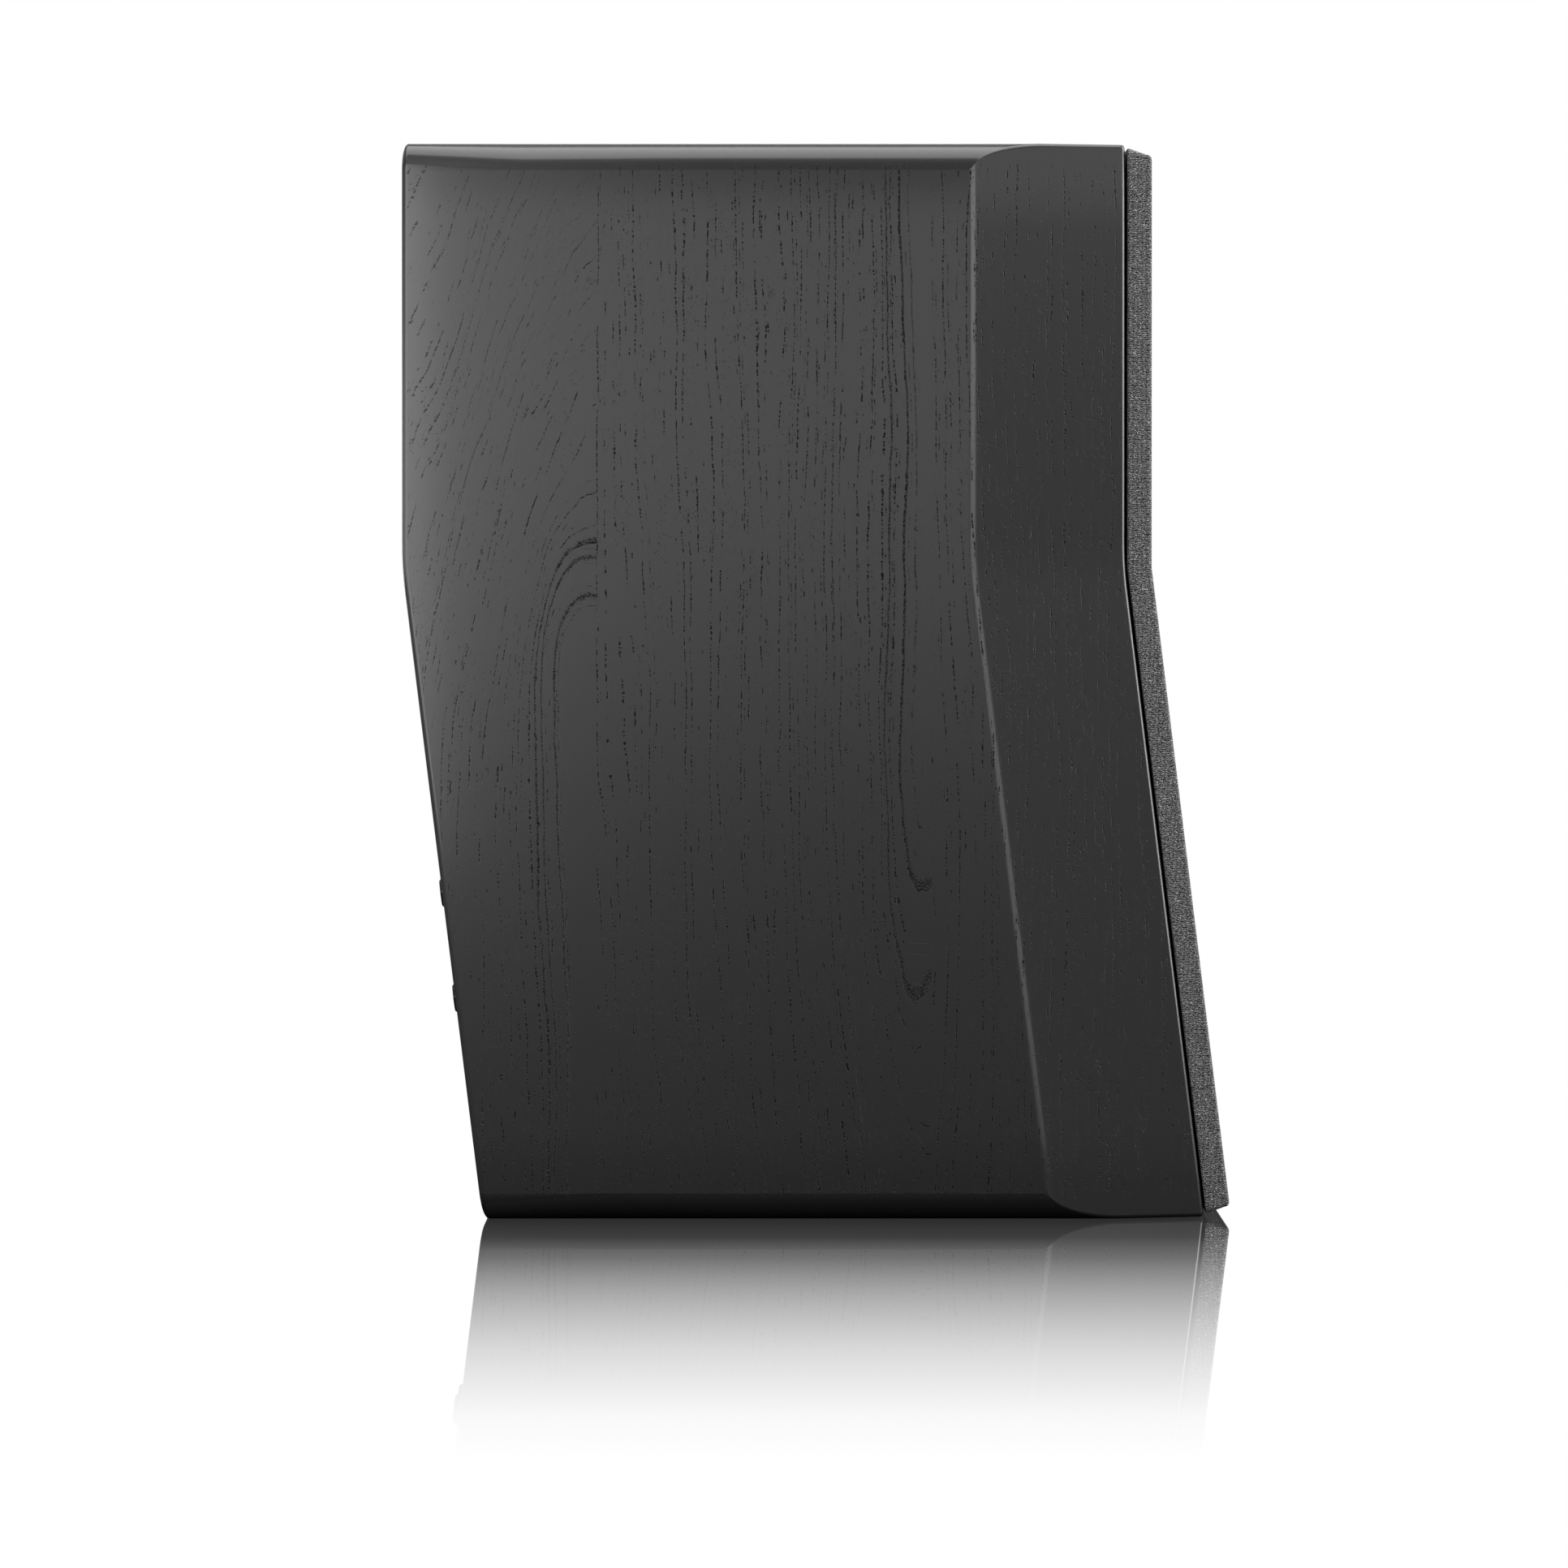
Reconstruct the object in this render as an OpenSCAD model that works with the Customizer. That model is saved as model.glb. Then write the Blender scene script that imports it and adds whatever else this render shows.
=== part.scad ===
// Two-way bookshelf speaker with a cranked cabinet: the upper half of the front and rear
// stands upright, and the lower half leans forward. Millimetres, +Z up, front towards -Y.
// The origin is the centre of the whole outline, at the level of the base.

/* [Cabinet] */
// Width across the flat sides
cab_w = 216; // [212:1:230]
// Height of the cabinet
cab_h = 381; // [376:1:400]
// Level distance from the front rim to the rear rim
cab_d = 256; // [250:1:280]
// Forward lean of the lower half, in degrees
slant = 7; // [6:0.5:7.5]
// Height at which the lean begins
bend_z = 231; // [228:1:236]
// Radius that softens the bend
bend_r = 140; // [100:10:160]
// Radius of the four long edges
edge_r = 10; // [8:1:12]
// Length of the bevel on each side, measured back from the front rim
bevel_len = 54; // [50:1:60]
// How far each bevel brings the side in by the time it reaches the rim
bevel_in = 18; // [14:1:18]
// Thickness of the side walls
side_t = 22; // [20:1:22]
// Thickness of the top and base walls
top_t = 20; // [18:1:22]
// Width of the rim left round the front baffle
front_rim = 4; // [3:0.5:4]
// Width of the rim left round the rear panel
rear_rim = 6; // [5:0.5:8]

/* [Panels] */
// Thickness of the front baffle
baffle_t = 22; // [20:1:24]
// Thickness of the rear panel
rear_t = 18; // [16:1:20]
// How far both panels sit behind their rims
panel_set = 0.5; // [0.3:0.1:1]
// Gap left for glue round a panel
glue = 0.2; // [0.1:0.1:0.3]
// Thickness of the shelf brace
brace_t = 12; // [10:1:15]

/* [Grille] */
// Gap between the cabinet rim and the grille
grille_gap = 0.9; // [0.8:0.1:1.5]
// Thickness of the grille, cloth included
grille_t = 8.6; // [8:0.2:10]
// Inset of the grille from the cabinet outline
grille_inset = 1; // [0.5:0.5:2]
// Thickness of the cloth
cloth_t = 0.6; // [0.5:0.1:0.8]
// Width of the side bars of the grille frame
grille_bar = 13; // [12:1:13]
// Width of the top and bottom bars
grille_bar_end = 18; // [17:1:20]

/* [Woofer] */
// Height of the woofer axis
woofer_z = 118; // [114:1:122]
// Outer radius of the basket flange
woofer_r = 81; // [80:0.5:81]
// Radius of the hole in the baffle
woofer_hole_r = 72; // [72:0.5:73]
// Outer radius of the cone
cone_r = 57.5; // [57:0.5:58]
// Radius of the surround roll
roll_r = 5; // [4.5:0.1:5]
// Radius of the inside of the voice coil former
coil_r = 16; // [15.5:0.1:16.2]
// Screws round the flange
woofer_screws_n = 6; // [4:1:8]

/* [Tweeter] */
// Height of the tweeter axis
tweeter_z = 298; // [296:1:302]
// Outer radius of the faceplate
tweeter_r = 52; // [50:1:54]
// Radius of the hole in the baffle
tweeter_hole_r = 39; // [38:1:40]
// Radius of the dome
dome_r = 12.8; // [12.5:0.1:13]

/* [Port] */
// Height of the port axis
port_z = 300; // [296:1:306]
// Inside radius of the port, two inches across
port_r = 25.4; // [24:0.2:26]
// Distance that the port reaches inside from the rear panel
port_len = 128; // [110:1:135]
// Outer radius of the flared flange
port_flange_r = 42; // [41:0.5:44]

/* [Terminals] */
// Height of the centre of the terminal cup
terminal_z = 94; // [90:1:100]
// Spacing of the binding posts in both directions
post_pitch = 38.5; // [36:0.5:40]
// Depth of the well of the cup
cup_depth = 22; // [21:0.5:24]
// Radius of the brass studs
stud_r = 3.9; // [3.8:0.1:4]
// Radius of the socket for a 4 mm banana plug
socket_r = 2.05; // [2.05:0.05:2.1]
// Depth of that socket
socket_len = 14.5; // [14:0.5:15]
// Radius of the thumb nuts
nut_r = 8; // [7.5:0.5:8.5]
// How far the thumb nuts stand out past the rear face
nut_proud = 5.5; // [4:0.5:6]

/* [Crossover] */
// Width of the circuit board
board_w = 136; // [130:1:138]
// Depth of the circuit board
board_d = 104; // [100:1:108]
// Height of the standoffs under it
standoff_h = 8; // [6:1:10]

/* [Hidden] */
$fn = 96;
far = 400;                 // longer than anything that it has to cut through

// Colours
oak = [0.10, 0.10, 0.10];
satin_black = [0.06, 0.06, 0.06];
mdf = [0.55, 0.43, 0.30];
plastic_black = [0.09, 0.09, 0.09];
cloth_grey = [0.34, 0.34, 0.35];
steel = [0.62, 0.63, 0.65];
alloy = [0.22, 0.22, 0.23];
ferrite = [0.16, 0.16, 0.17];
gold = [0.83, 0.66, 0.30];
copper = [0.72, 0.40, 0.22];
rubber_black = [0.05, 0.05, 0.05];
wadding = [0.78, 0.78, 0.76];
red = [0.65, 0.06, 0.05];

// Side profile
lean = tan(slant);
bend_top = bend_z + bend_r * tan(slant / 2);
bend_steps = 7;
grille_front = grille_gap + grille_t;
taper = bevel_in / bevel_len;
grille_foot = grille_inset + grille_t * taper;      // height of the grille's lowest front edge
overall_d = cab_d + (bend_z - grille_foot) * lean + grille_front;
y_rear = overall_d / 2;
y_front = y_rear - cab_d;
y_face = y_front + panel_set;                       // front face of the baffle
y_back = y_rear - panel_set;                        // rear face of the rear panel
baffle_w = cab_w - 2 * bevel_in - 2 * front_rim;
cavity_w = cab_w - 2 * side_t;
rear_w = cab_w - 2 * rear_rim;

// Screw and magnet places
woofer_screw_r = 77.6;
tweeter_screw_r = 46.5;
magnet_x = 81;
magnet_heights = [11, 212, 370];
magnet_r = 4;
magnet_t = 2.5;

// Woofer levels, along its axis from the baffle face
flange_t = 5;
gasket_t = 0.5;
seat_z = -1.5;             // the surround's lips lie at this level
lip_t = 0.6;
basket_knee = -16;
spider_z = -43;
basket_foot = -56;
plate_t = 6;
magnet_h = 18;
motor_r = 46;
ferrite_r = 50;
coil_wall = 0.4;
winding_t = 0.85;
cone_neck = -34;
cone_t = 0.9;
cap_r = 21;
roll_mid = cone_r + roll_r;

// Tweeter levels, along its axis from the baffle face
face_t = 4;
throat_z = -7;
dome_z = throat_z - 0.9;   // level of the dome's rim
tweeter_motor_r = 36;
tweeter_plate_t = 4;
tweeter_magnet_t = 12;
chamber_r = 30;
chamber_len = 22;

// Terminal levels, along the normal of the rear face
cup_w = 116;
cup_h = 104;
cup_flange_t = 3;
well_w = 92;
well_h = 80;
cup_wall = 2.5;
collar_h = 5;
jumper_t = 1.2;
washer_t = 1.2;
post_xy = post_pitch / 2;
floor_z = -cup_depth;
jumper_z = floor_z + collar_h;
slip = 0.1;                // clearance that lets nuts and washers turn
jumper_top = jumper_z + jumper_t;
washer_z = jumper_top + slip;
nut_z = washer_z + washer_t + slip;
stud_top = 2.5;

// Crossover levels
board_t = 1.6;
board_y = 10;
board_z = top_t + standoff_h;
parts_z = board_z + board_t;
lead_r = 1.3;

// ---- Helpers --------------------------------------------------------------------------

function reversed(v) = [for (i = [len(v) - 1 : -1 : 0]) v[i]];

// Level shift of the side profile at height z, on the softened bend
function shift_at(z) =
    z >= bend_top ? 0 :
    z <= bend_top - bend_r * sin(slant) ? -(bend_z - z) * lean :
    let (a = asin((bend_top - z) / bend_r)) -bend_r * (1 - cos(a));

// [shift, height] pairs down the softened bend, and down a sharp crease
function soft_line(lo, hi) = concat(
    [[shift_at(hi), hi]],
    [for (i = [0 : bend_steps])
        let (a = slant * i / bend_steps, z = bend_top - bend_r * sin(a))
        if (z < hi && z > lo) [-bend_r * (1 - cos(a)), z]],
    [[shift_at(lo), lo]]);
function crease_line(lo, hi) =
    [[0, hi], [0, bend_z], [-(bend_z - lo) * lean, lo]];

// Solid between two profile lines, each moved along Y, and w wide across X
module profile_solid(w, y_a, line_a, y_b, line_b) {
    rotate([90, 0, 90]) linear_extrude(height = w, center = true)
        polygon(concat(
            [for (p = line_a) [y_a + p[0], p[1]]],
            [for (p = reversed(line_b)) [y_b + p[0], p[1]]]));
}

module bent_slab(w, y_a, y_b, lo, hi) {
    profile_solid(w, y_a, soft_line(lo, hi), y_b, soft_line(lo, hi));
}

// Everything outside a side plane that runs in from [x, y] at the taper and follows the profile
module side_cut(x, y, line) {
    b = atan(taper);
    q = x * cos(b) - y * sin(b);
    for (m = [0, 1]) mirror([m, 0, 0])
        rotate([90, 0, -b]) linear_extrude(height = 3 * far, center = true)
            polygon(concat(
                [for (p = line) [q - p[0] * sin(b), p[1]]],
                [[q + far, line[len(line) - 1][1]], [q + far, line[0][1]]]));
}

// Frames on the faces: origin on the face, +Z out of the cabinet
module at_woofer() {
    translate([0, y_face + shift_at(woofer_z), woofer_z]) rotate([90 - slant, 0, 0]) children();
}
module at_tweeter() {
    translate([0, y_face, tweeter_z]) rotate([90, 0, 0]) children();
}
module at_port() {
    translate([0, y_back, port_z]) rotate([-90, 0, 0]) children();
}
module at_terminals() {
    translate([0, y_back + shift_at(terminal_z), terminal_z]) rotate([-90 - slant, 0, 0]) children();
}

module ring(r_out, r_in, lo, hi) {
    difference() {
        translate([0, 0, lo]) cylinder(r = r_out, h = hi - lo);
        translate([0, 0, lo - 1]) cylinder(r = r_in, h = hi - lo + 2);
    }
}

module disc(r, lo, hi) {
    translate([0, 0, lo]) cylinder(r = r, h = hi - lo);
}

module around(n, r, turn = 0) {
    for (i = [0 : n - 1]) rotate([0, 0, turn + 360 * i / n]) translate([r, 0, 0]) children();
}

// Rounded rectangle, as a true outline of lines and arcs
module round_rect(w, h, r) {
    square([w - 2 * r, h], center = true);
    square([w, h - 2 * r], center = true);
    for (x = [-1, 1], y = [-1, 1]) translate([x * (w / 2 - r), y * (h / 2 - r)]) circle(r = r);
}

module round_plate(w, h, r, lo, hi) {
    translate([0, 0, lo]) linear_extrude(height = hi - lo) round_rect(w, h, r);
}

// Socket-head screw whose head ends at z = 0
module socket_screw(head_r, head_h, shank_r, len) {
    difference() {
        union() {
            disc(head_r, -head_h, 0);
            disc(shank_r, -len, -head_h);
        }
        translate([0, 0, -head_h * 0.6]) cylinder(r = head_r * 0.5, h = head_h, $fn = 6);
    }
}

// Points of a smooth line through the given ones, n steps to each span
function spline_point(p, i, t) =
    let (a = p[max(i - 1, 0)], b = p[i], c = p[i + 1], d = p[min(i + 2, len(p) - 1)])
    0.5 * (2 * b + (c - a) * t + (2 * a - 5 * b + 4 * c - d) * t * t
        + (3 * b - a - 3 * c + d) * t * t * t);
function spline(p, n) = concat(
    [for (i = [0 : len(p) - 2], k = [0 : n - 1]) spline_point(p, i, k / n)], [p[len(p) - 1]]);

function unit(v) = v / norm(v);
function heading(p, i) = unit(p[min(i + 1, len(p) - 1)] - p[max(i - 1, 0)]);

// Frames carried along the line without twist: each keeps the part of the last side vector
// that is square to the new heading
function sides(p, i, side) =
    let (h = heading(p, i), s = unit(side - h * (side * h)))
    i == len(p) - 1 ? [s] : concat([s], sides(p, i + 1, s));

// Round tube through the points, with 8 sides
module lead(points, r, first_side = [1, 0, 0.1]) {
    n = 8;
    p = spline(points, 4);
    s = sides(p, 0, first_side);
    rings = [for (i = [0 : len(p) - 1])
        let (u = s[i], v = cross(heading(p, i), u))
        for (k = [0 : n - 1]) p[i] + r * (cos(360 * k / n) * u + sin(360 * k / n) * v)];
    last = (len(p) - 1) * n;
    polyhedron(points = rings, faces = concat(
        [[for (k = [0 : n - 1]) k]],
        [for (i = [0 : len(p) - 2], k = [0 : n - 1])
            [i * n + k, (i + 1) * n + k, (i + 1) * n + (k + 1) % n, i * n + (k + 1) % n]],
        [[for (k = [n - 1 : -1 : 0]) last + k]]));
}

// ---- Cabinet --------------------------------------------------------------------------

// One folded wrap of veneered board: both sides, the top and the base
module cabinet_wrap() {
    color(oak) difference() {
        intersection() {
            bent_slab(cab_w, y_front, y_rear, 0, cab_h);
            translate([0, far / 2 + y_rear, cab_h / 2]) rotate([90, 0, 0])
                linear_extrude(height = 2 * far) round_rect(cab_w, cab_h, edge_r);
        }
        side_cut(cab_w / 2, y_front + bevel_len, soft_line(-20, cab_h + 20));
        bent_slab(cavity_w, y_face + baffle_t - 1, y_back - rear_t + 1, top_t, cab_h - top_t);
        bent_slab(baffle_w, y_front - 5, y_face + baffle_t, front_rim, cab_h - front_rim);
        bent_slab(rear_w, y_back - rear_t, y_rear + 5, rear_rim, cab_h - rear_rim);
    }
}

module front_baffle() {
    color(satin_black) difference() {
        bent_slab(baffle_w - 2 * glue, y_face, y_face + baffle_t - glue,
            front_rim + glue, cab_h - front_rim - glue);
        at_woofer() {
            disc(woofer_r + 0.3, -flange_t - gasket_t, 5);
            disc(woofer_hole_r, -40, 5);
            around(woofer_screws_n, woofer_screw_r, 30) disc(2, -18, 5);
        }
        at_tweeter() {
            disc(tweeter_r + 0.3, -face_t - gasket_t, 5);
            disc(tweeter_hole_r, -40, 5);
            around(4, tweeter_screw_r, 45) disc(1.8, -16, 5);
        }
        baffle_pockets();
    }
}

// Places of the magnets on a creased face that stands at y in its upper half
module at_magnets(y) {
    for (x = [-1, 1], z = magnet_heights)
        translate([x * magnet_x, y - max(bend_z - z, 0) * lean, z])
            rotate([90 - (z < bend_z ? slant : 0), 0, 0]) children();
}

module baffle_pockets() {
    at_magnets(y_face) disc(magnet_r + 0.05, -3, 2);
}

module baffle_magnets() {
    color(steel) at_magnets(y_face) disc(magnet_r, -2.9, -0.2);
}

module rear_panel() {
    color(oak) difference() {
        bent_slab(rear_w - 2 * glue, y_back - rear_t + glue, y_back,
            rear_rim + glue, cab_h - rear_rim - glue);
        at_port() {
            disc(port_flange_r + 0.3, -3.2, 5);
            disc(31, -40, 5);
        }
        at_terminals() {
            round_plate(cup_w + 0.6, cup_h + 0.6, 9, -cup_flange_t - 0.2, 5);
            round_plate(well_w + 2 * cup_wall + 1, well_h + 2 * cup_wall + 1, 6, -40, 5);
            at_cup_screws() disc(1.5, -16, 5);
        }
    }
}

// Shelf between the two halves of the inside, with four windows
module shelf_brace() {
    top = 220;
    low = top - brace_t;
    front_y = y_face + baffle_t + shift_at(top) + glue;
    rear_y = y_back - rear_t + shift_at(low) - glue;
    rib = 14;
    win_w = (cavity_w - 3 * rib) / 2;
    win_d = (rear_y - front_y - 3 * rib) / 2;
    color(mdf) difference() {
        translate([-cavity_w / 2 + glue, front_y, low])
            cube([cavity_w - 2 * glue, rear_y - front_y, brace_t]);
        for (i = [0, 1], x = [-1, 1])
            translate([x * (win_w + rib) / 2, front_y + rib + win_d / 2 + i * (win_d + rib), low - 1])
                linear_extrude(height = brace_t + 2) round_rect(win_w, win_d, 10);
    }
}

// Absorbent pads: two on each side wall and one under the top
module damping_pads() {
    pad_t = 12;
    inner = cavity_w / 2 - 0.3;
    y_a = y_face + baffle_t + 6;
    y_b = y_back - rear_t - 6;
    color(wadding) {
        for (x = [-1, 1]) translate([x * (inner - pad_t / 2), 0, 0]) {
            bent_slab(pad_t, y_a, y_b, top_t + 6, 204);
            bent_slab(pad_t, y_a, y_b, 224, cab_h - top_t - 16);
        }
        translate([-68, y_a, cab_h - top_t - pad_t - 0.3]) cube([136, y_b - y_a, pad_t]);
    }
}

// ---- Port -----------------------------------------------------------------------------

module port_flange() {
    flare = 14;
    sleeve_end = -34;
    color(plastic_black) at_port() rotate_extrude() polygon(concat(
        [for (a = [0 : 10 : 90]) [port_r + flare * (1 - sin(a)), -flare * (1 - cos(a)) + 0.001]],
        [[port_r, -16], [28.1, -16], [28.1, sleeve_end], [30.6, sleeve_end], [30.6, -3],
         [port_flange_r, -3], [port_flange_r, -0.6], [port_flange_r - 0.6, 0]]));
}

module port_tube() {
    wall = 2.6;
    flare = 9;
    color(plastic_black) at_port() rotate_extrude() polygon(concat(
        [[port_r, -16.1], [port_r, -port_len + flare]],
        [for (a = [10 : 10 : 90]) [port_r + flare * (1 - cos(a)), -port_len + flare * (1 - sin(a))]],
        [[port_r + flare + 1, -port_len], [port_r + flare + 1, -port_len + 2]],
        [for (a = [80 : -10 : 0])
            [port_r + wall + (flare - wall + 1) * (1 - cos(a)), -port_len + 2 + (flare - 1) * (1 - sin(a))]],
        [[port_r + wall, -16.1]]));
}

// ---- Terminals ------------------------------------------------------------------------

module at_cup_screws() {
    for (x = [-1, 1], y = [-1, 1]) translate([x * 52.5, y * 46.5, 0]) children();
}

// Places of the four binding posts: plus on +X, treble pair above
module at_posts() {
    for (x = [-1, 1], y = [-1, 1]) at_post(x, y) children();
}
module at_post(x, y) {
    translate([x * post_xy, y * post_xy, 0]) children();
}

module terminal_cup() {
    color(plastic_black) at_terminals() difference() {
        union() {
            round_plate(cup_w, cup_h, 9, -cup_flange_t, 0);
            round_plate(well_w + 2 * cup_wall, well_h + 2 * cup_wall, 6, floor_z - cup_wall, -1);
        }
        round_plate(well_w, well_h, 4, floor_z, 5);
        at_posts() disc(stud_r + 0.1, -40, 5);
        at_cup_screws() {
            disc(1.7, -10, 5);
            disc(3.1, -1.6, 5);
        }
    }
}

module terminal_cup_screws() {
    color(steel) at_terminals() at_cup_screws() translate([0, 0, -0.1])
        socket_screw(2.9, 1.5, 1.45, 14);
}

// Brass studs, each with a banana socket and, below it, a cross hole for bare wire
module post_studs() {
    color(gold) at_terminals() at_posts() difference() {
        disc(stud_r, floor_z - 11, stud_top);
        disc(socket_r, stud_top - socket_len, stud_top + 1);
        translate([0, 0, nut_z + 0.6]) rotate([0, 90, 0]) cylinder(r = 1.3, h = 20, center = true);
    }
}

module post_collars(x) {
    at_terminals() for (y = [-1, 1]) at_post(x, y) ring(7.4, stud_r + 0.1, floor_z, jumper_z);
}
module red_post_collars() { color(red) post_collars(1); }
module black_post_collars() { color(plastic_black) post_collars(-1); }

// Hex nut and solder tag behind each post
module post_lock_nuts() {
    low = floor_z - cup_wall;
    color(steel) at_terminals() at_posts() difference() {
        union() {
            translate([0, 0, low - 4]) cylinder(r = 6.6, h = 4, $fn = 6);
            disc(6, low - 4.8, low - 4);
            translate([-2.5, 0, low - 4.8]) cube([5, 13, 0.8]);
        }
        disc(stud_r + 0.05, low - 6, low + 1);
    }
}

// Links between the treble and bass posts of each polarity
module jumper_plates() {
    color(gold) at_terminals() for (x = [-1, 1]) translate([x * post_xy, 0, 0]) difference() {
        round_plate(13, post_pitch + 13, 4, jumper_z, jumper_top);
        for (y = [-1, 1]) translate([0, y * post_xy, 0]) disc(stud_r + 0.15, -40, 5);
    }
}

// Fluted thumb nut with an open end for a plug
module thumb_nut(x, y) {
    bore = stud_r + slip / 2;
    at_terminals() at_post(x, y) difference() {
        rotate_extrude() polygon([
            [bore, nut_z], [nut_r - 0.8, nut_z], [nut_r, nut_z + 0.8],
            [nut_r, nut_proud - 1.4], [nut_r - 1.4, nut_proud], [bore, nut_proud]]);
        around(14, nut_r + 0.5) disc(1, nut_z + 3, nut_proud + 1);
    }
}
module hf_plus_nut() { color(red) thumb_nut(1, -1); }
module hf_minus_nut() { color(plastic_black) thumb_nut(-1, -1); }
module lf_plus_nut() { color(red) thumb_nut(1, 1); }
module lf_minus_nut() { color(plastic_black) thumb_nut(-1, 1); }

// Captive washer that rides under each thumb nut
module clamp_washer(x, y) {
    color(gold) at_terminals() at_post(x, y) ring(6.6, stud_r + slip / 2, washer_z, washer_z + washer_t);
}
module hf_plus_washer() { clamp_washer(1, -1); }
module hf_minus_washer() { clamp_washer(-1, -1); }
module lf_plus_washer() { clamp_washer(1, 1); }
module lf_minus_washer() { clamp_washer(-1, 1); }

// ---- Crossover ------------------------------------------------------------------------

module at_board_corners() {
    for (x = [-1, 1], y = [-1, 1])
        translate([x * (board_w / 2 - 6), board_y + y * (board_d / 2 - 6), 0]) children();
}

module crossover_board() {
    color([0.05, 0.25, 0.12]) difference() {
        translate([0, board_y, 0]) round_plate(board_w, board_d, 3, board_z, parts_z);
        at_board_corners() disc(1.8, board_z - 1, parts_z + 1);
    }
}

// Pillar under each corner of the board, with the screw that passes through both
module crossover_standoffs() {
    color(steel) at_board_corners() {
        ring(4, 1.7, top_t, board_z);
        disc(1.6, top_t + 1, parts_z);
        difference() {
            disc(3, parts_z, parts_z + 2);
            translate([0, 0, parts_z + 1]) cylinder(r = 1.3, h = 2, $fn = 6);
        }
    }
}

// Two air-core coils lying flat and one standing on edge
module crossover_coils() {
    color(copper) {
        translate([-44, board_y + 22, 0]) ring(19, 8, parts_z + 1.5, parts_z + 17);
        translate([44, board_y + 22, 0]) ring(17, 7.5, parts_z + 1.5, parts_z + 14);
        translate([-44, board_y - 26, parts_z + 14.5]) rotate([90, 0, 0]) ring(14, 6, -8, 8);
    }
}

module crossover_capacitors() {
    color([0.75, 0.62, 0.18]) {
        for (i = [0, 1]) translate([10 - i * 20, board_y + 20, parts_z + 9])
            rotate([90, 0, 0]) cylinder(r = 8.5, h = 34, center = true);
        translate([8, board_y - 24, parts_z + 7]) rotate([0, 90, 0])
            cylinder(r = 6.5, h = 30, center = true);
    }
}

// Ceramic power resistors
module crossover_resistors() {
    color([0.86, 0.84, 0.78]) for (i = [0 : 2])
        translate([38 + i * 11, board_y - 26, parts_z + 5.5]) cube([8, 26, 9], center = true);
}

// Leads behind the terminals, to the rear edge of the board
module input_leads() {
    rear = board_y + board_d / 2 - 4;
    for (x = [-1, 1]) color(x > 0 ? red : rubber_black) {
        lead([[x * 19, 98.5, 104], [x * 19, 91, 98], [x * 22, 82, 80], [x * 24, 70, 50],
              [x * 24, rear + 2, 36], [x * 24, rear, parts_z + 0.6]], lead_r);
        lead([[x * 19, 93.5, 65.5], [x * 19, 86, 60], [x * 16, 76, 50],
              [x * 14, rear + 4, 38], [x * 14, rear, parts_z + 0.6]], lead_r);
    }
}

module woofer_leads() {
    front = board_y - board_d / 2 + 4;
    for (x = [-1, 1]) color(x > 0 ? red : rubber_black)
        lead([[x * 10, front, parts_z + 0.2], [x * 10, front - 2, 35], [x * 9, -50, 42],
              [x * 7, -66, 44], [x * 5, -76, 47], [x * 5, -78.5, 51.5]], lead_r);
}

module tweeter_leads() {
    for (x = [-1, 1]) color(x > 0 ? red : rubber_black)
        lead([[x * 60, 46, parts_z + 0.2], [x * 60, 48, 40], [x * 62, 58, 70], [x * 62, 66, 130],
              [x * 58, 70, 190], [x * 54, 66, 214], [x * 48, 40, 250], [x * 43, -20, 284],
              [x * 37, -50, 297], [x * 33.4, -67, 298], [x * 33.4, -78, 298]], lead_r);
}

// ---- Woofer ---------------------------------------------------------------------------

// Cast basket: flange, eight ribs and the ring that the motor hangs from
module woofer_basket() {
    ribs = 8;
    open = 33;
    color(alloy) at_woofer() difference() {
        rotate_extrude() polygon([
            [74, 0], [woofer_r - 0.8, 0], [woofer_r, -0.8], [woofer_r, -flange_t],
            [woofer_hole_r - 0.5, -flange_t], [woofer_hole_r - 0.5, basket_knee],
            [50, spider_z + 1], [50, basket_foot], [39.5, basket_foot], [39.5, spider_z - 0.4],
            [46, spider_z - 0.4], [46, spider_z + 1], [67, basket_knee], [67, seat_z], [74, seat_z]]);
        for (i = [0 : ribs - 1]) rotate([0, 0, 360 * i / ribs])
            translate([0, 0, spider_z + 2]) linear_extrude(height = basket_knee - spider_z - 4)
                polygon([[0, 0], 100 * [cos(open / 2), -sin(open / 2)],
                         100 * [cos(open / 2), sin(open / 2)]]);
        around(woofer_screws_n, woofer_screw_r, 30) {
            disc(2.1, -10, 5);
            disc(3.5, -2.9, 5);
        }
    }
}

module woofer_gasket() {
    color(rubber_black) at_woofer() difference() {
        ring(woofer_r - 0.5, woofer_hole_r + 0.3, -flange_t - gasket_t, -flange_t);
        around(woofer_screws_n, woofer_screw_r, 30) disc(2.1, -10, 5);
    }
}

// Ring that clamps the outer lip of the surround
module woofer_trim_ring() {
    low = seat_z + lip_t;
    color(plastic_black) at_woofer() rotate_extrude() polygon([
        [68.4, low], [73.8, low], [73.8, 0.9], [73.3, 1.3], [70.2, 1.3], [68.4, 0.3]]);
}

module woofer_screws() {
    color(steel) at_woofer() around(woofer_screws_n, woofer_screw_r, 30)
        translate([0, 0, -0.2]) socket_screw(3.3, 2.7, 1.95, 17);
}

module woofer_top_plate() {
    color(steel) at_woofer() ring(motor_r, coil_r + coil_wall + winding_t + 0.55,
        basket_foot - plate_t, basket_foot);
}

module woofer_magnet() {
    top = basket_foot - plate_t;
    color(ferrite) at_woofer() ring(ferrite_r, 27, top - magnet_h, top);
}

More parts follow.
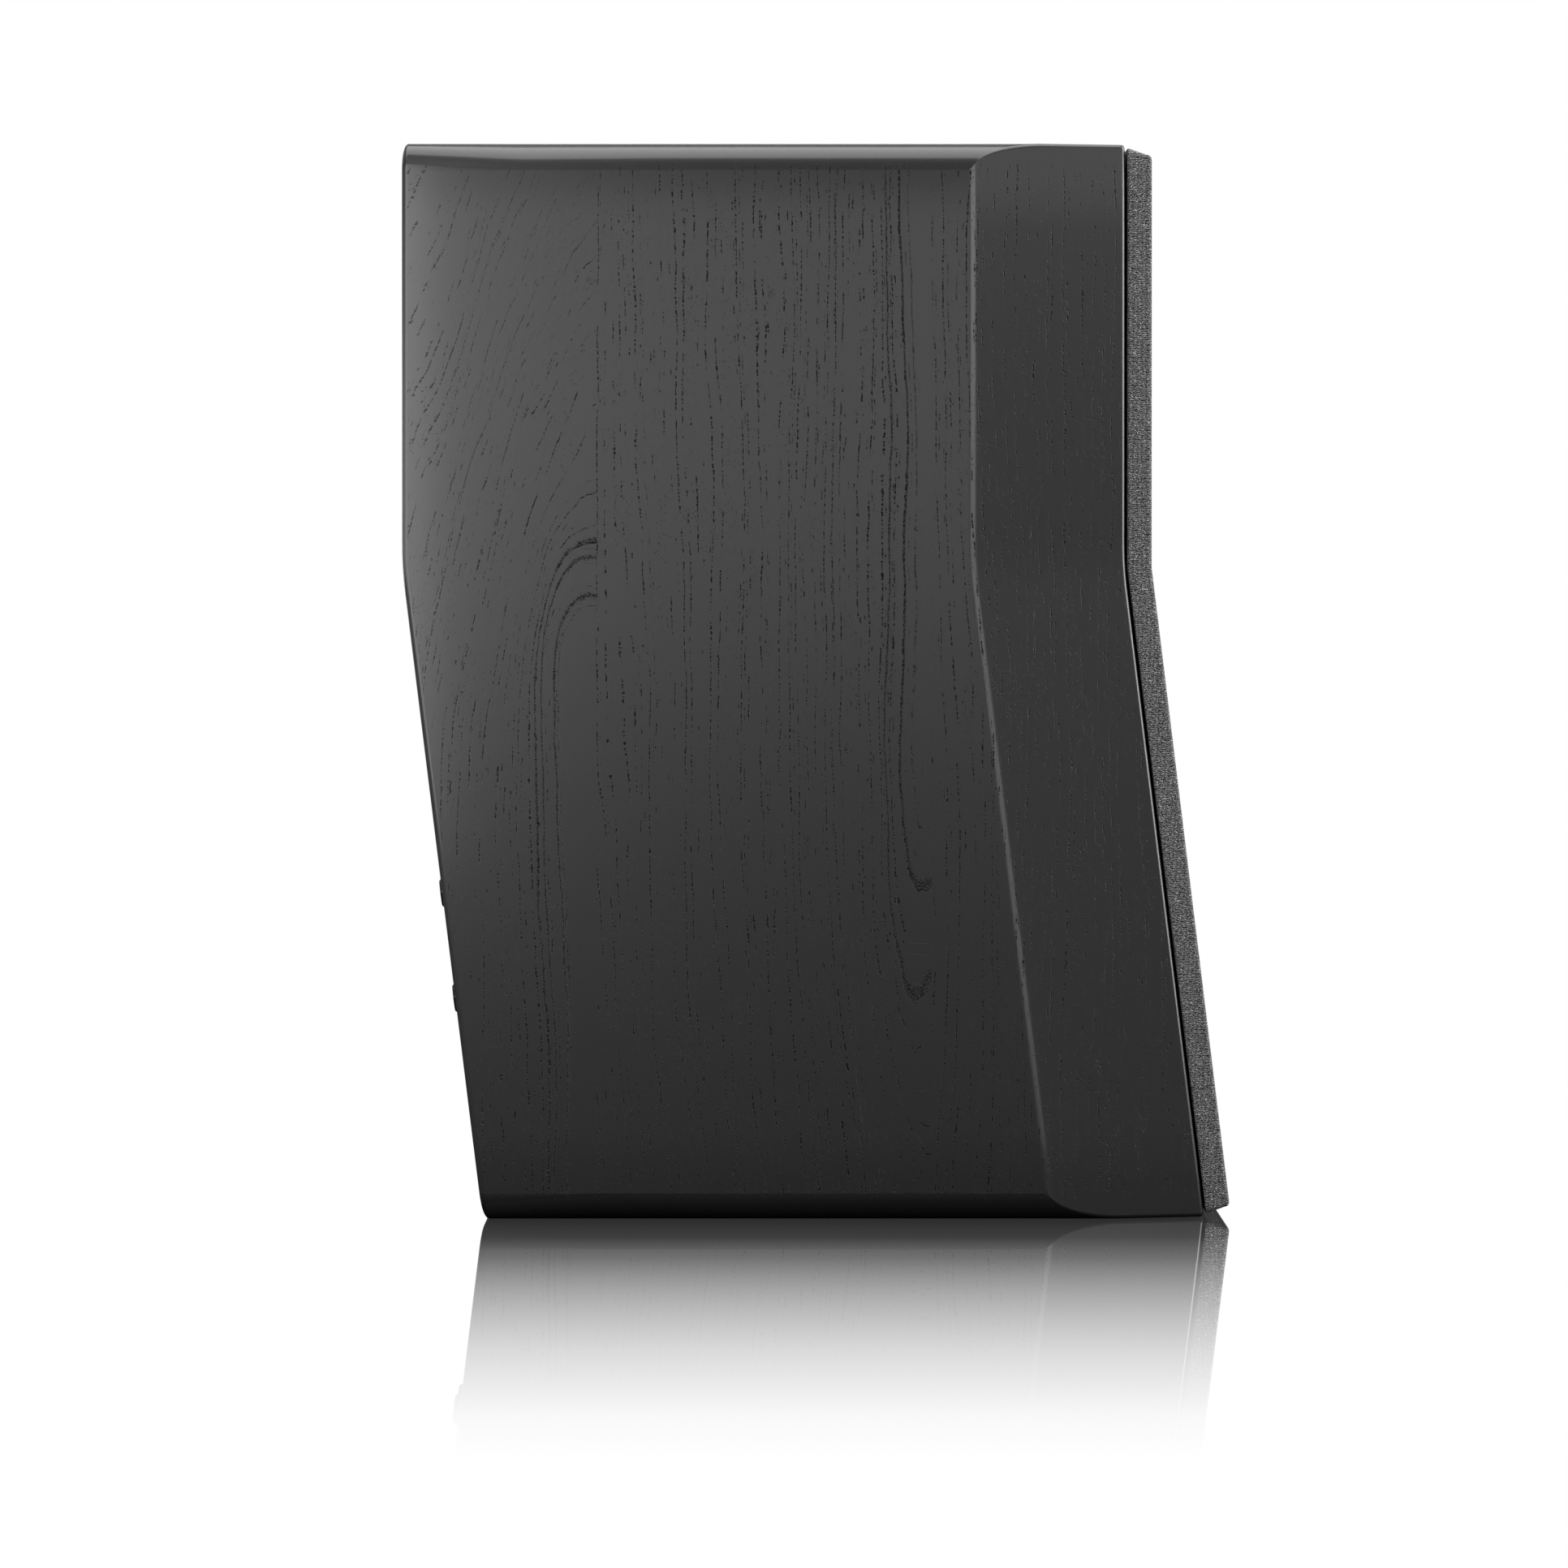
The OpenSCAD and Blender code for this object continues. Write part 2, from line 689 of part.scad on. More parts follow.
// Back plate and vented pole in one piece
module woofer_yoke() {
    top = basket_foot - plate_t - magnet_h;
    color(steel) at_woofer() rotate_extrude() polygon([
        [5, basket_foot + 1], [coil_r - 0.6, basket_foot + 1], [coil_r - 0.6, top], [motor_r, top],
        [motor_r, top - 4.5], [motor_r - 1.5, top - plate_t], [8, top - plate_t], [5, top - plate_t + 3]]);
}

// Rolled rubber edge with a flat lip each side
module woofer_surround() {
    outer = roll_r;
    inner = roll_r - lip_t;
    base = seat_z;
    color(rubber_black) at_woofer() rotate_extrude() polygon(concat(
        [[cone_r - 3, base], [cone_r - 3, base + lip_t]],
        [[cone_r - 0.2, base + lip_t]],
        [for (a = [170 : -10 : 10]) [roll_mid + outer * cos(a), base + outer * sin(a)]],
        [[roll_mid + outer + 0.2, base + lip_t], [73.6, base + lip_t], [73.6, base]],
        [for (a = [0 : 10 : 180]) [roll_mid + inner * cos(a), base + inner * sin(a)]]));
}

// Corrugated disc that centres the coil
module woofer_spider() {
    r_in = coil_r + coil_wall + 0.05;
    r_out = 45.5;
    lip = 40.5;
    waves = 5;
    t = 0.5;
    steps = 60;
    function wave(r) = r > lip ? 0 : 1.5 * sin(360 * waves * (lip - r) / (lip - r_in));
    color([0.75, 0.65, 0.35]) at_woofer() translate([0, 0, spider_z]) rotate_extrude() polygon(concat(
        [for (i = [0 : steps]) let (r = r_in + (lip - r_in) * i / steps) [r, wave(r) + t - 0.4]],
        [[r_out, t - 0.4], [r_out, -0.4]],
        [for (i = [steps : -1 : 0]) let (r = r_in + (lip - r_in) * i / steps) [r, wave(r) - 0.4]]));
}

// Tag strip on the lowest rib of the basket
module woofer_terminal_strip() {
    color(plastic_black) at_woofer() difference() {
        translate([-10, -57, -54]) cube([20, 6.8, 10]);
        for (x = [-1, 1]) translate([x * 5, -54, -60]) cylinder(r = 1.35, h = 9);
    }
}

// Braided leads from the coil former out to the tag strip
module woofer_tinsel_leads() {
    color(copper) at_woofer() for (x = [-1, 1])
        lead([[x * 4, -17.6, -37], [x * 4.5, -21, -39], [x * 6, -29, -39.2],
              [x * 6.5, -37, -39.4], [x * 5, -44, -39.8]], 0.5, [1, 0, 0]);
}

// Level of the cone's front at radius r: steep at the neck, flatter at the rim
function cone_level(r) =
    let (u = (r - coil_r - coil_wall) / (cone_r - coil_r - coil_wall))
    cone_neck + (seat_z - cone_neck) * pow(max(u, 0), 0.88);

module woofer_cone() {
    r_in = coil_r + coil_wall + 0.05;
    steps = 16;
    function r_of(i) = r_in + (cone_r - 0.3 - r_in) * i / steps;
    color([0.12, 0.12, 0.13]) at_woofer() rotate_extrude() polygon(concat(
        [for (i = [0 : steps]) [r_of(i), cone_level(r_of(i)) - 0.05]],
        [for (i = [steps : -1 : 0]) [r_of(i), cone_level(r_of(i)) - cone_t - 0.05]]));
}

module woofer_dust_cap() {
    rise = 7;
    base = cone_level(cap_r) + 0.15;
    ball = (cap_r * cap_r + rise * rise) / (2 * rise);
    reach = asin(cap_r / ball);
    steps = 10;
    color([0.08, 0.08, 0.08]) at_woofer() translate([0, 0, base + rise - ball]) rotate_extrude()
        polygon(concat(
            [for (i = [0 : steps]) let (a = reach * i / steps) ball * [sin(a), cos(a)]],
            [for (i = [steps : -1 : 0]) let (a = reach * i / steps) (ball - 0.7) * [sin(a), cos(a)]]));
}

module woofer_former() {
    color(copper) at_woofer() ring(coil_r + coil_wall, coil_r, -66, cone_neck + 1);
}

module woofer_voice_coil() {
    r = coil_r + coil_wall + 0.02;
    color(copper) at_woofer() ring(r + winding_t, r, -66, -52);
}

// ---- Tweeter --------------------------------------------------------------------------

// Faceplate with a shallow horn in its middle
module tweeter_faceplate() {
    mouth = 35;
    throat = 16.6;
    horn = 5.4;
    color(satin_black) at_tweeter() difference() {
        rotate_extrude() polygon(concat(
            [for (a = [0 : 10 : 90]) [mouth - (mouth - throat) * sin(a), -horn * (1 - cos(a))]],
            [[throat, throat_z], [24, throat_z], [28, throat_z + 1], [tweeter_hole_r - 0.6, -face_t - 1],
             [tweeter_hole_r - 0.6, -face_t], [tweeter_r, -face_t], [tweeter_r, -0.8],
             [tweeter_r - 0.8, 0]]));
        around(4, tweeter_screw_r, 45) {
            disc(1.9, -10, 5);
            disc(3.1, -2.5, 5);
        }
    }
}

// Domed cover in front of the diaphragm
module tweeter_guard() {
    rim = 16.4;
    rise = 4.4;
    ball = (rim * rim + rise * rise) / (2 * rise);
    reach = asin(rim / ball);
    steps = 10;
    color(steel) at_tweeter() translate([0, 0, -5.6 + rise - ball]) rotate_extrude()
        polygon(concat(
            [for (i = [0 : steps]) let (a = reach * i / steps) ball * [sin(a), cos(a)]],
            [for (i = [steps : -1 : 0]) let (a = reach * i / steps) (ball - 0.5) * [sin(a), cos(a)]]));
}

module tweeter_gasket() {
    color(rubber_black) at_tweeter() difference() {
        ring(tweeter_r - 0.5, tweeter_hole_r + 0.3, -face_t - gasket_t, -face_t);
        around(4, tweeter_screw_r, 45) disc(1.9, -10, 5);
    }
}

module tweeter_screws() {
    color(steel) at_tweeter() around(4, tweeter_screw_r, 45)
        translate([0, 0, -0.2]) socket_screw(2.9, 2.3, 1.75, 15);
}

// The diaphragm's lip is clamped in the millimetre between the faceplate and this plate
module tweeter_top_plate() {
    color(steel) at_tweeter() ring(tweeter_motor_r, dome_r + 1, throat_z - 1 - tweeter_plate_t, throat_z - 1);
}

module tweeter_magnet() {
    top = throat_z - 1 - tweeter_plate_t;
    color(ferrite) at_tweeter() ring(tweeter_motor_r, 19, top - tweeter_magnet_t, top);
}

module tweeter_yoke() {
    top = throat_z - 1 - tweeter_plate_t - tweeter_magnet_t;
    pole = dome_r - 0.8;
    color(steel) at_tweeter() difference() {
        rotate_extrude() polygon([
            [4, -8.4], [pole - 1, -8.4], [pole, -9.4], [pole, top], [tweeter_motor_r, top],
            [tweeter_motor_r, top - 5], [4, top - 5]]);
        for (x = [-1, 1]) translate([x * 33, 0, 0]) disc(1.2, top - 6, top + 1);
    }
}

// Damped cup behind the vented pole
module tweeter_chamber() {
    top = throat_z - 1 - tweeter_plate_t - tweeter_magnet_t - 5;
    color(plastic_black) at_tweeter() rotate_extrude() polygon([
        [chamber_r, top], [chamber_r, top - chamber_len + 4], [chamber_r - 4, top - chamber_len],
        [0, top - chamber_len], [0, top - chamber_len + 2.5], [chamber_r - 5, top - chamber_len + 2.5],
        [chamber_r - 2.5, top - chamber_len + 5], [chamber_r - 2.5, top]]);
}

module tweeter_surround() {
    roll = 1.5;
    t = 0.3;
    mid = dome_r + 0.4 + roll;
    color(rubber_black) at_tweeter() translate([0, 0, throat_z - 0.6]) rotate_extrude() polygon(concat(
        [[dome_r + 0.05, -t], [dome_r + 0.05, 0]],
        [for (a = [180 : -15 : 0]) [mid + roll * cos(a), roll * sin(a)]],
        [[16.65, 0], [16.65, t], [20, t], [20, -t], [mid + roll - t, -t]],
        [for (a = [0 : 15 : 180]) [mid + (roll - t) * cos(a), (roll - t) * sin(a)]],
        [[mid - roll + t, -t]]));
}

module tweeter_dome() {
    rise = 4.2;
    ball = (dome_r * dome_r + rise * rise) / (2 * rise);
    reach = asin(dome_r / ball);
    steps = 10;
    color([0.6, 0.62, 0.65]) at_tweeter() {
        translate([0, 0, dome_z + rise - ball]) rotate_extrude() polygon(concat(
            [for (i = [0 : steps]) let (a = reach * i / steps) ball * [sin(a), cos(a)]],
            [for (i = [steps : -1 : 0]) let (a = reach * i / steps) (ball - 0.25) * [sin(a), cos(a)]]));
        ring(dome_r, dome_r - 0.3, dome_z - 4.6, dome_z + 0.1);
    }
}

module tweeter_voice_coil() {
    color(copper) at_tweeter() ring(dome_r + 0.5, dome_r + 0.02, dome_z - 4.5, dome_z - 0.9);
}

// ---- Grille ---------------------------------------------------------------------------

// Creased panel that tapers towards its front on all four sides. margin is its inset from
// the cabinet outline at y_a, the rear
module tapered_panel(margin, y_a, y_b) {
    half = cab_w / 2 - bevel_in - margin;
    low = margin;
    high = cab_h - margin;
    rise = (y_a - y_b) * taper;
    difference() {
        profile_solid(2 * half, y_a, crease_line(low, high), y_b, crease_line(low + rise, high - rise));
        side_cut(half, y_a, crease_line(-20, cab_h + 20));
    }
}

module grille_frame() {
    skin = cloth_t + 0.1;
    y_a = y_front - grille_gap;
    y_b = y_front - grille_front + skin;
    win_w = cab_w - 2 * bevel_in - 2 * grille_inset - 2 * grille_bar;
    color(plastic_black) difference() {
        tapered_panel(grille_inset + skin, y_a, y_b);
        for (z = [[grille_inset + grille_bar_end, 222], [240, cab_h - grille_inset - grille_bar_end]])
            profile_solid(win_w, y_a + 5, crease_line(z[0], z[1]), y_b - 5, crease_line(z[0], z[1]));
        at_magnets(y_a) disc(magnet_r + 0.05, -1, magnet_t + 0.1);
    }
}

// Cloth stretched over the front and the edges of the frame
module grille_cloth() {
    y_a = y_front - grille_gap;
    y_b = y_front - grille_front;
    color(cloth_grey) difference() {
        tapered_panel(grille_inset, y_a, y_b);
        tapered_panel(grille_inset + cloth_t - 5 * taper, y_a + 5, y_b + cloth_t);
    }
}

module grille_magnets() {
    color(steel) at_magnets(y_front - grille_gap) disc(magnet_r, 0.1, magnet_t);
}

// ---- Nodes ----------------------------------------------------------------------------

cabinet_wrap();
front_baffle();
rear_panel();
shelf_brace();
damping_pads();
port_flange();
port_tube();
terminal_cup();
terminal_cup_screws();
post_studs();
red_post_collars();
black_post_collars();
post_lock_nuts();
jumper_plates();
crossover_board();
crossover_coils();
crossover_capacitors();
crossover_resistors();
crossover_standoffs();
input_leads();
woofer_leads();
tweeter_leads();
woofer_basket();
woofer_gasket();
woofer_trim_ring();
woofer_screws();
woofer_top_plate();
woofer_magnet();
woofer_yoke();
woofer_surround();
woofer_spider();
woofer_terminal_strip();
woofer_tinsel_leads();
woofer_cone();
woofer_dust_cap();
woofer_former();
woofer_voice_coil();
tweeter_faceplate();
tweeter_guard();
tweeter_gasket();
tweeter_screws();
tweeter_top_plate();
tweeter_magnet();
tweeter_yoke();
tweeter_chamber();
tweeter_surround();
tweeter_dome();
tweeter_voice_coil();
grille_frame();
grille_cloth();
grille_magnets();
baffle_magnets();
hf_plus_nut();
hf_minus_nut();
lf_plus_nut();
lf_minus_nut();
hf_plus_washer();
hf_minus_washer();
lf_plus_washer();
lf_minus_washer();
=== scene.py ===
from math import acos, asin, cos, hypot, pi, radians, sin, sqrt, tan

import bmesh
import bpy
import numpy as np
from mathutils import Matrix, Vector


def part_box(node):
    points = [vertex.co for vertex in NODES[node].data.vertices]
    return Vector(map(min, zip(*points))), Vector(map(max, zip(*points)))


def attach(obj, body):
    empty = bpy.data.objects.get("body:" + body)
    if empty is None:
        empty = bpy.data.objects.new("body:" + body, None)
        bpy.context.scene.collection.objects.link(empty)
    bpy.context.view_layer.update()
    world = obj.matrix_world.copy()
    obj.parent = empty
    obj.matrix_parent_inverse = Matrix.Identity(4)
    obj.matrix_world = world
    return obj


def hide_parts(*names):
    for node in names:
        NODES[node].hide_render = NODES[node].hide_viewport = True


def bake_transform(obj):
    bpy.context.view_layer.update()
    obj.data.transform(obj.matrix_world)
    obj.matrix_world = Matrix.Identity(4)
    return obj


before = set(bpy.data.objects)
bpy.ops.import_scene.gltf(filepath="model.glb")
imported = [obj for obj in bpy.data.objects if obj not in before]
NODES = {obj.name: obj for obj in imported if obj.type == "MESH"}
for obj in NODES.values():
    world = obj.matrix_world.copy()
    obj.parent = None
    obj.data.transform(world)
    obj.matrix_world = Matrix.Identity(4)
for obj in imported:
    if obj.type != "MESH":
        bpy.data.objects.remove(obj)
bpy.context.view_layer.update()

MM = 0.001

# ---- Sizes, worked out from the frame ----

_, WRAP_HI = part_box("cabinet_wrap")
HALF_W = WRAP_HI.x
HEIGHT = WRAP_HI.z
Y_REAR = WRAP_HI.y
DEPTH = 256 * MM
Y_FRONT = Y_REAR - DEPTH
SLANT = radians(7)
BEND_Z = 231 * MM
BEND_R = 140 * MM
BEND_TOP = BEND_Z + BEND_R * tan(SLANT / 2)
BEND_LOW = BEND_TOP - BEND_R * sin(SLANT)
EDGE_R = 10 * MM
BEVEL_LEN = 54.3 * MM
TAPER = 1 / 3  # how much the bevels come in for each unit forward
FACE_Y = Y_FRONT + 0.5 * MM  # front face of the baffle
BACK_Y = Y_REAR - 0.5 * MM  # rear face of the rear panel


def lean(z):
    """How far the side profile has moved along Y at height z, on the softened bend."""
    if z >= BEND_TOP:
        return 0.0
    if z <= BEND_LOW:
        return -(BEND_Z - z) * tan(SLANT)
    return -(BEND_R - sqrt(BEND_R ** 2 - (BEND_TOP - z) ** 2))


def crease(z):
    """The same along a sharp crease, as on the grille."""
    return -max(BEND_Z - z, 0.0) * tan(SLANT)


def placed(y, z, turn):
    """Frame on a face of the cabinet, with local +Z pointing out of it."""
    return Matrix.Translation((0, y, z)) @ Matrix.Rotation(turn, 4, "X")


WOOFER_Z = 118 * MM
TERMINAL_Z = 94 * MM
AT_WOOFER = placed(FACE_Y + lean(WOOFER_Z), WOOFER_Z, pi / 2 - SLANT)
AT_TWEETER = placed(FACE_Y, 298 * MM, pi / 2)
AT_PORT = placed(BACK_Y, 300 * MM, -pi / 2)
AT_TERMINALS = placed(BACK_Y + lean(TERMINAL_Z), TERMINAL_Z, -pi / 2 - SLANT)
POST_XY = 19.25 * MM
POSTS = {"hf_plus": (1, -1), "hf_minus": (-1, -1), "lf_plus": (1, 1), "lf_minus": (-1, 1)}

# ---- Camera, light and floor ----

CAMERA_AWAY = 3.2  # from the near side of the cabinet
CAMERA_Y = 11.7 * MM
CAMERA_Z = 237.5 * MM
LENS = 208
SENSOR = 36
SHIFT_UP = -0.065  # puts the object where it stands in its picture


def add_object(data):
    obj = bpy.data.objects.new(data.name, data)
    bpy.context.scene.collection.objects.link(obj)
    return obj


def aimed(data, place, aim):
    """A camera or a light at a place, turned to look at another one."""
    obj = add_object(data)
    obj.location = place
    obj.rotation_euler = (Vector(aim) - obj.location).to_track_quat("-Z", "Y").to_euler()
    return obj


def make_camera():
    data = bpy.data.cameras.new("camera")
    data.lens = LENS
    data.sensor_width = SENSOR
    data.shift_y = SHIFT_UP
    bpy.context.scene.camera = aimed(data, (-HALF_W - CAMERA_AWAY, CAMERA_Y, CAMERA_Z),
                                     (-HALF_W, CAMERA_Y, HEIGHT / 2))


def softbox(name, place, aim, width, height, strength):
    """Area light. strength is its radiance, so a bigger box gives more light."""
    data = bpy.data.lights.new(name, "AREA")
    data.shape = "RECTANGLE"
    data.size = width
    data.size_y = height
    data.energy = strength * width * height * pi
    aimed(data, place, aim).visible_camera = False


def round_place(angle, away, z):
    """A place round the object: angle 0 is in front of the near side, and grows towards the grille."""
    a = radians(angle)
    return (-away * cos(a), -away * sin(a), z)


def light_scene():
    middle = (0, 0, HEIGHT / 2)
    softbox("overhead", (-0.08, 0, 1.5), (-0.08, 0, 0.3), 1.3, 1.6, 2.83)
    softbox("crease_strip_high", round_place(21, 1.7, 0.8), (0, 0, 0.3), 0.5, 1.0, 2.03)
    softbox("crease_strip_low", round_place(21, 1.7, 0.3), (0, 0, 0.2), 0.5, 0.6, 1.9)
    softbox("front_box", round_place(95, 1.1, 0.6), middle, 0.8, 1.0, 6.3)
    softbox("front_side_box", round_place(62, 1.2, 0.85), middle, 0.6, 1.0, 0.8)
    softbox("bevel_box", round_place(42, 1.5, 0.62), (0, -0.1, 0.3), 0.5, 0.4, 0.8)
    softbox("rear_card", (-0.328, 0.235, 0.32), (-0.108, 0.235, 0.3), 0.17, 0.4, 3.13)
    softbox("rear_wide", round_place(-60, 2.6, 0.2), middle, 2.7, 0.34, 3.0)
    softbox("camera_box", (-4.0, 0.3, 0.45), middle, 1.6, 0.6, 1.5)
    softbox("far_box", round_place(180, 2.2, 0.8), middle, 1.4, 1.0, 1.3)
    softbox("far_rear_box", round_place(235, 2.4, 0.2), middle, 1.7, 0.34, 2.2)
    softbox("far_front_box", round_place(140, 2.4, 0.2), middle, 1.5, 0.34, 2.0)


FAR_GREY = 0.24


def make_world():
    """Dark behind the camera and dim grey on the far side. Sharp mirrors, which here means only the
    floor, show the white studio instead."""
    world = bpy.data.worlds.new("studio")
    bpy.context.scene.world = world
    world.use_nodes = True
    g = Graph(world.node_tree)
    x, _, z = g.split(g.node("ShaderNodeTexCoord").outputs["Generated"])
    above = g.map_range(z, -0.05, 0.05)
    dim = g.mul(g.map_range(x, -0.2, 0.3, 0.0, FAR_GREY, smooth=True), above)
    light = g.math("MAXIMUM", dim, g.node("ShaderNodeLightPath").outputs["Is Singular Ray"])
    background = g.tree.nodes["Background"]
    g.put(background.inputs["Color"], light)
    g.put(background.inputs["Strength"], 1.0)


FLOOR_R = 11
FLOOR_SHINE_REACH = 0.85
# The floor's shine by distance, as a share of that reach
FLOOR_SHINE = [(0.0, 0.975), (0.1, 0.957), (0.21, 0.86), (0.35, 0.675), (0.62, 0.32), (0.86, 0.06),
               (1.0, 0.0)]


def make_floor():
    """A pale, faintly glossy floor, and a white surround that only the camera sees."""
    floor = new_mesh("floor", circle(FLOOR_R, 64, -0.2 * MM), [range(64)])
    floor.data.materials.append(floor_material())
    floor.visible_diffuse = False
    floor.visible_glossy = False
    surround = new_mesh("surround", *sphere_mesh(FLOOR_R + 0.5, 48, 24))
    surround.data.materials.append(white_glow())
    for ray in ("diffuse", "glossy", "transmission", "shadow", "volume_scatter"):
        setattr(surround, "visible_" + ray, False)


# ---- Mesh helpers ----

def new_mesh(name, verts, faces):
    mesh = bpy.data.meshes.new(name)
    mesh.from_pydata([tuple(v) for v in verts], [], [tuple(f) for f in faces])
    mesh.validate()
    mesh.shade_smooth()
    return add_object(mesh)


def band_faces(rings, n, closed=False):
    """Quads between rings of n points each, and from the last ring to the first if closed."""
    return [(i * n + k, i * n + (k + 1) % n, j * n + (k + 1) % n, j * n + k)
            for i in range(rings if closed else rings - 1) for j in [(i + 1) % rings] for k in range(n)]


def circle(r, n, z):
    return [(r * cos(2 * pi * i / n), r * sin(2 * pi * i / n), z) for i in range(n)]


def sphere_mesh(r, around, up):
    rings = [circle(r * sin(t), around, r * cos(t)) for t in (pi * j / up for j in range(up + 1))]
    return sum(rings, []), band_faces(up + 1, around)


def tidy_mesh(obj, merge=1e-6):
    """Joins doubled points, drops faces with no area and points every face outwards."""
    bm = bmesh.new()
    bm.from_mesh(obj.data)
    bmesh.ops.remove_doubles(bm, verts=bm.verts, dist=merge)
    bmesh.ops.dissolve_degenerate(bm, edges=bm.edges, dist=merge)
    bmesh.ops.recalc_face_normals(bm, faces=bm.faces)
    bm.to_mesh(obj.data)
    bm.free()
    return obj


def rounded(points, radius=0.3, steps=4):
    """A closed outline with its corners rounded. A point may carry its own radius as a third number."""
    out = []
    n = len(points)
    for i, p in enumerate(points):
        a, b, c = (Vector(points[(i + k) % n][:2]) for k in (-1, 0, 1))
        r = p[2] if len(p) > 2 else radius
        u, v = a - b, c - b
        reach = 0.45 * min(u.length, v.length)
        u.normalize()
        v.normalize()
        half = acos(max(-1.0, min(1.0, u.dot(v)))) / 2
        if half > radians(80) or r <= 0:
            out.append(tuple(b))
            continue
        t = min(r / tan(half), reach)
        r = t * tan(half)
        centre = b + (u + v).normalized() * (r / sin(half))
        start, end = b + u * t - centre, b + v * t - centre
        turn = start.angle_signed(end)
        for k in range(steps + 1):
            q = start.copy()
            q.rotate(Matrix.Rotation(-turn * k / steps, 2))
            out.append(tuple(centre + q))
    return out


def arc(cx, cy, r, a0, a1, n):
    """Points on an arc, in degrees, ends included."""
    return [(cx + r * cos(radians(a0 + (a1 - a0) * i / n)),
             cy + r * sin(radians(a0 + (a1 - a0) * i / n))) for i in range(n + 1)]


def lathe(name, outline, place, segments=128, radius_at=None):
    """Turned solid from a closed (radius, height) outline, in millimetres."""
    verts = []
    for a in (2 * pi * i / segments for i in range(segments)):
        for r, h in outline:
            if radius_at:
                r = radius_at(r, h, a)
            verts.append(place @ (MM * Vector((r * cos(a), r * sin(a), h))))
    faces = [(a, d, c, b) for a, b, c, d in band_faces(segments, len(outline), closed=True)]
    return tidy_mesh(new_mesh(name, verts, faces))


def modifier(obj, name, kind, **settings):
    mod = obj.modifiers.new(name, kind)
    for key, value in settings.items():
        setattr(mod, key, value)
    return mod


def weighted(obj):
    """Flat faces keep flat shading next to their rounded edges."""
    modifier(obj, "weighted_normals", "WEIGHTED_NORMAL", weight=80, keep_sharp=True)


def dress(obj, body, slot, replaced, *more_finishes):
    """Gives a new piece its finishes and its body, and hides the CAD node that it stands for."""
    for finish in (slot, *more_finishes):
        obj.data.materials.append(FINISHES[finish])
    weighted(obj)
    if body:
        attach(obj, body)
    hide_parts(replaced)


def dress_node(name, material, bevel):
    """Gives a CAD node its finish, and breaks its sharp edges without touching its mesh."""
    obj = NODES[name]
    obj.data.materials.clear()
    obj.data.materials.append(material)
    obj.data.shade_smooth()
    modifier(obj, "weld", "WELD", merge_threshold=1e-6)
    if bevel:
        modifier(obj, "flat", "DECIMATE", decimate_type="DISSOLVE", angle_limit=radians(0.5))
        modifier(obj, "edges", "BEVEL", width=bevel, segments=2, limit_method="ANGLE",
                 angle_limit=radians(35))
    weighted(obj)


# ---- Material helpers ----

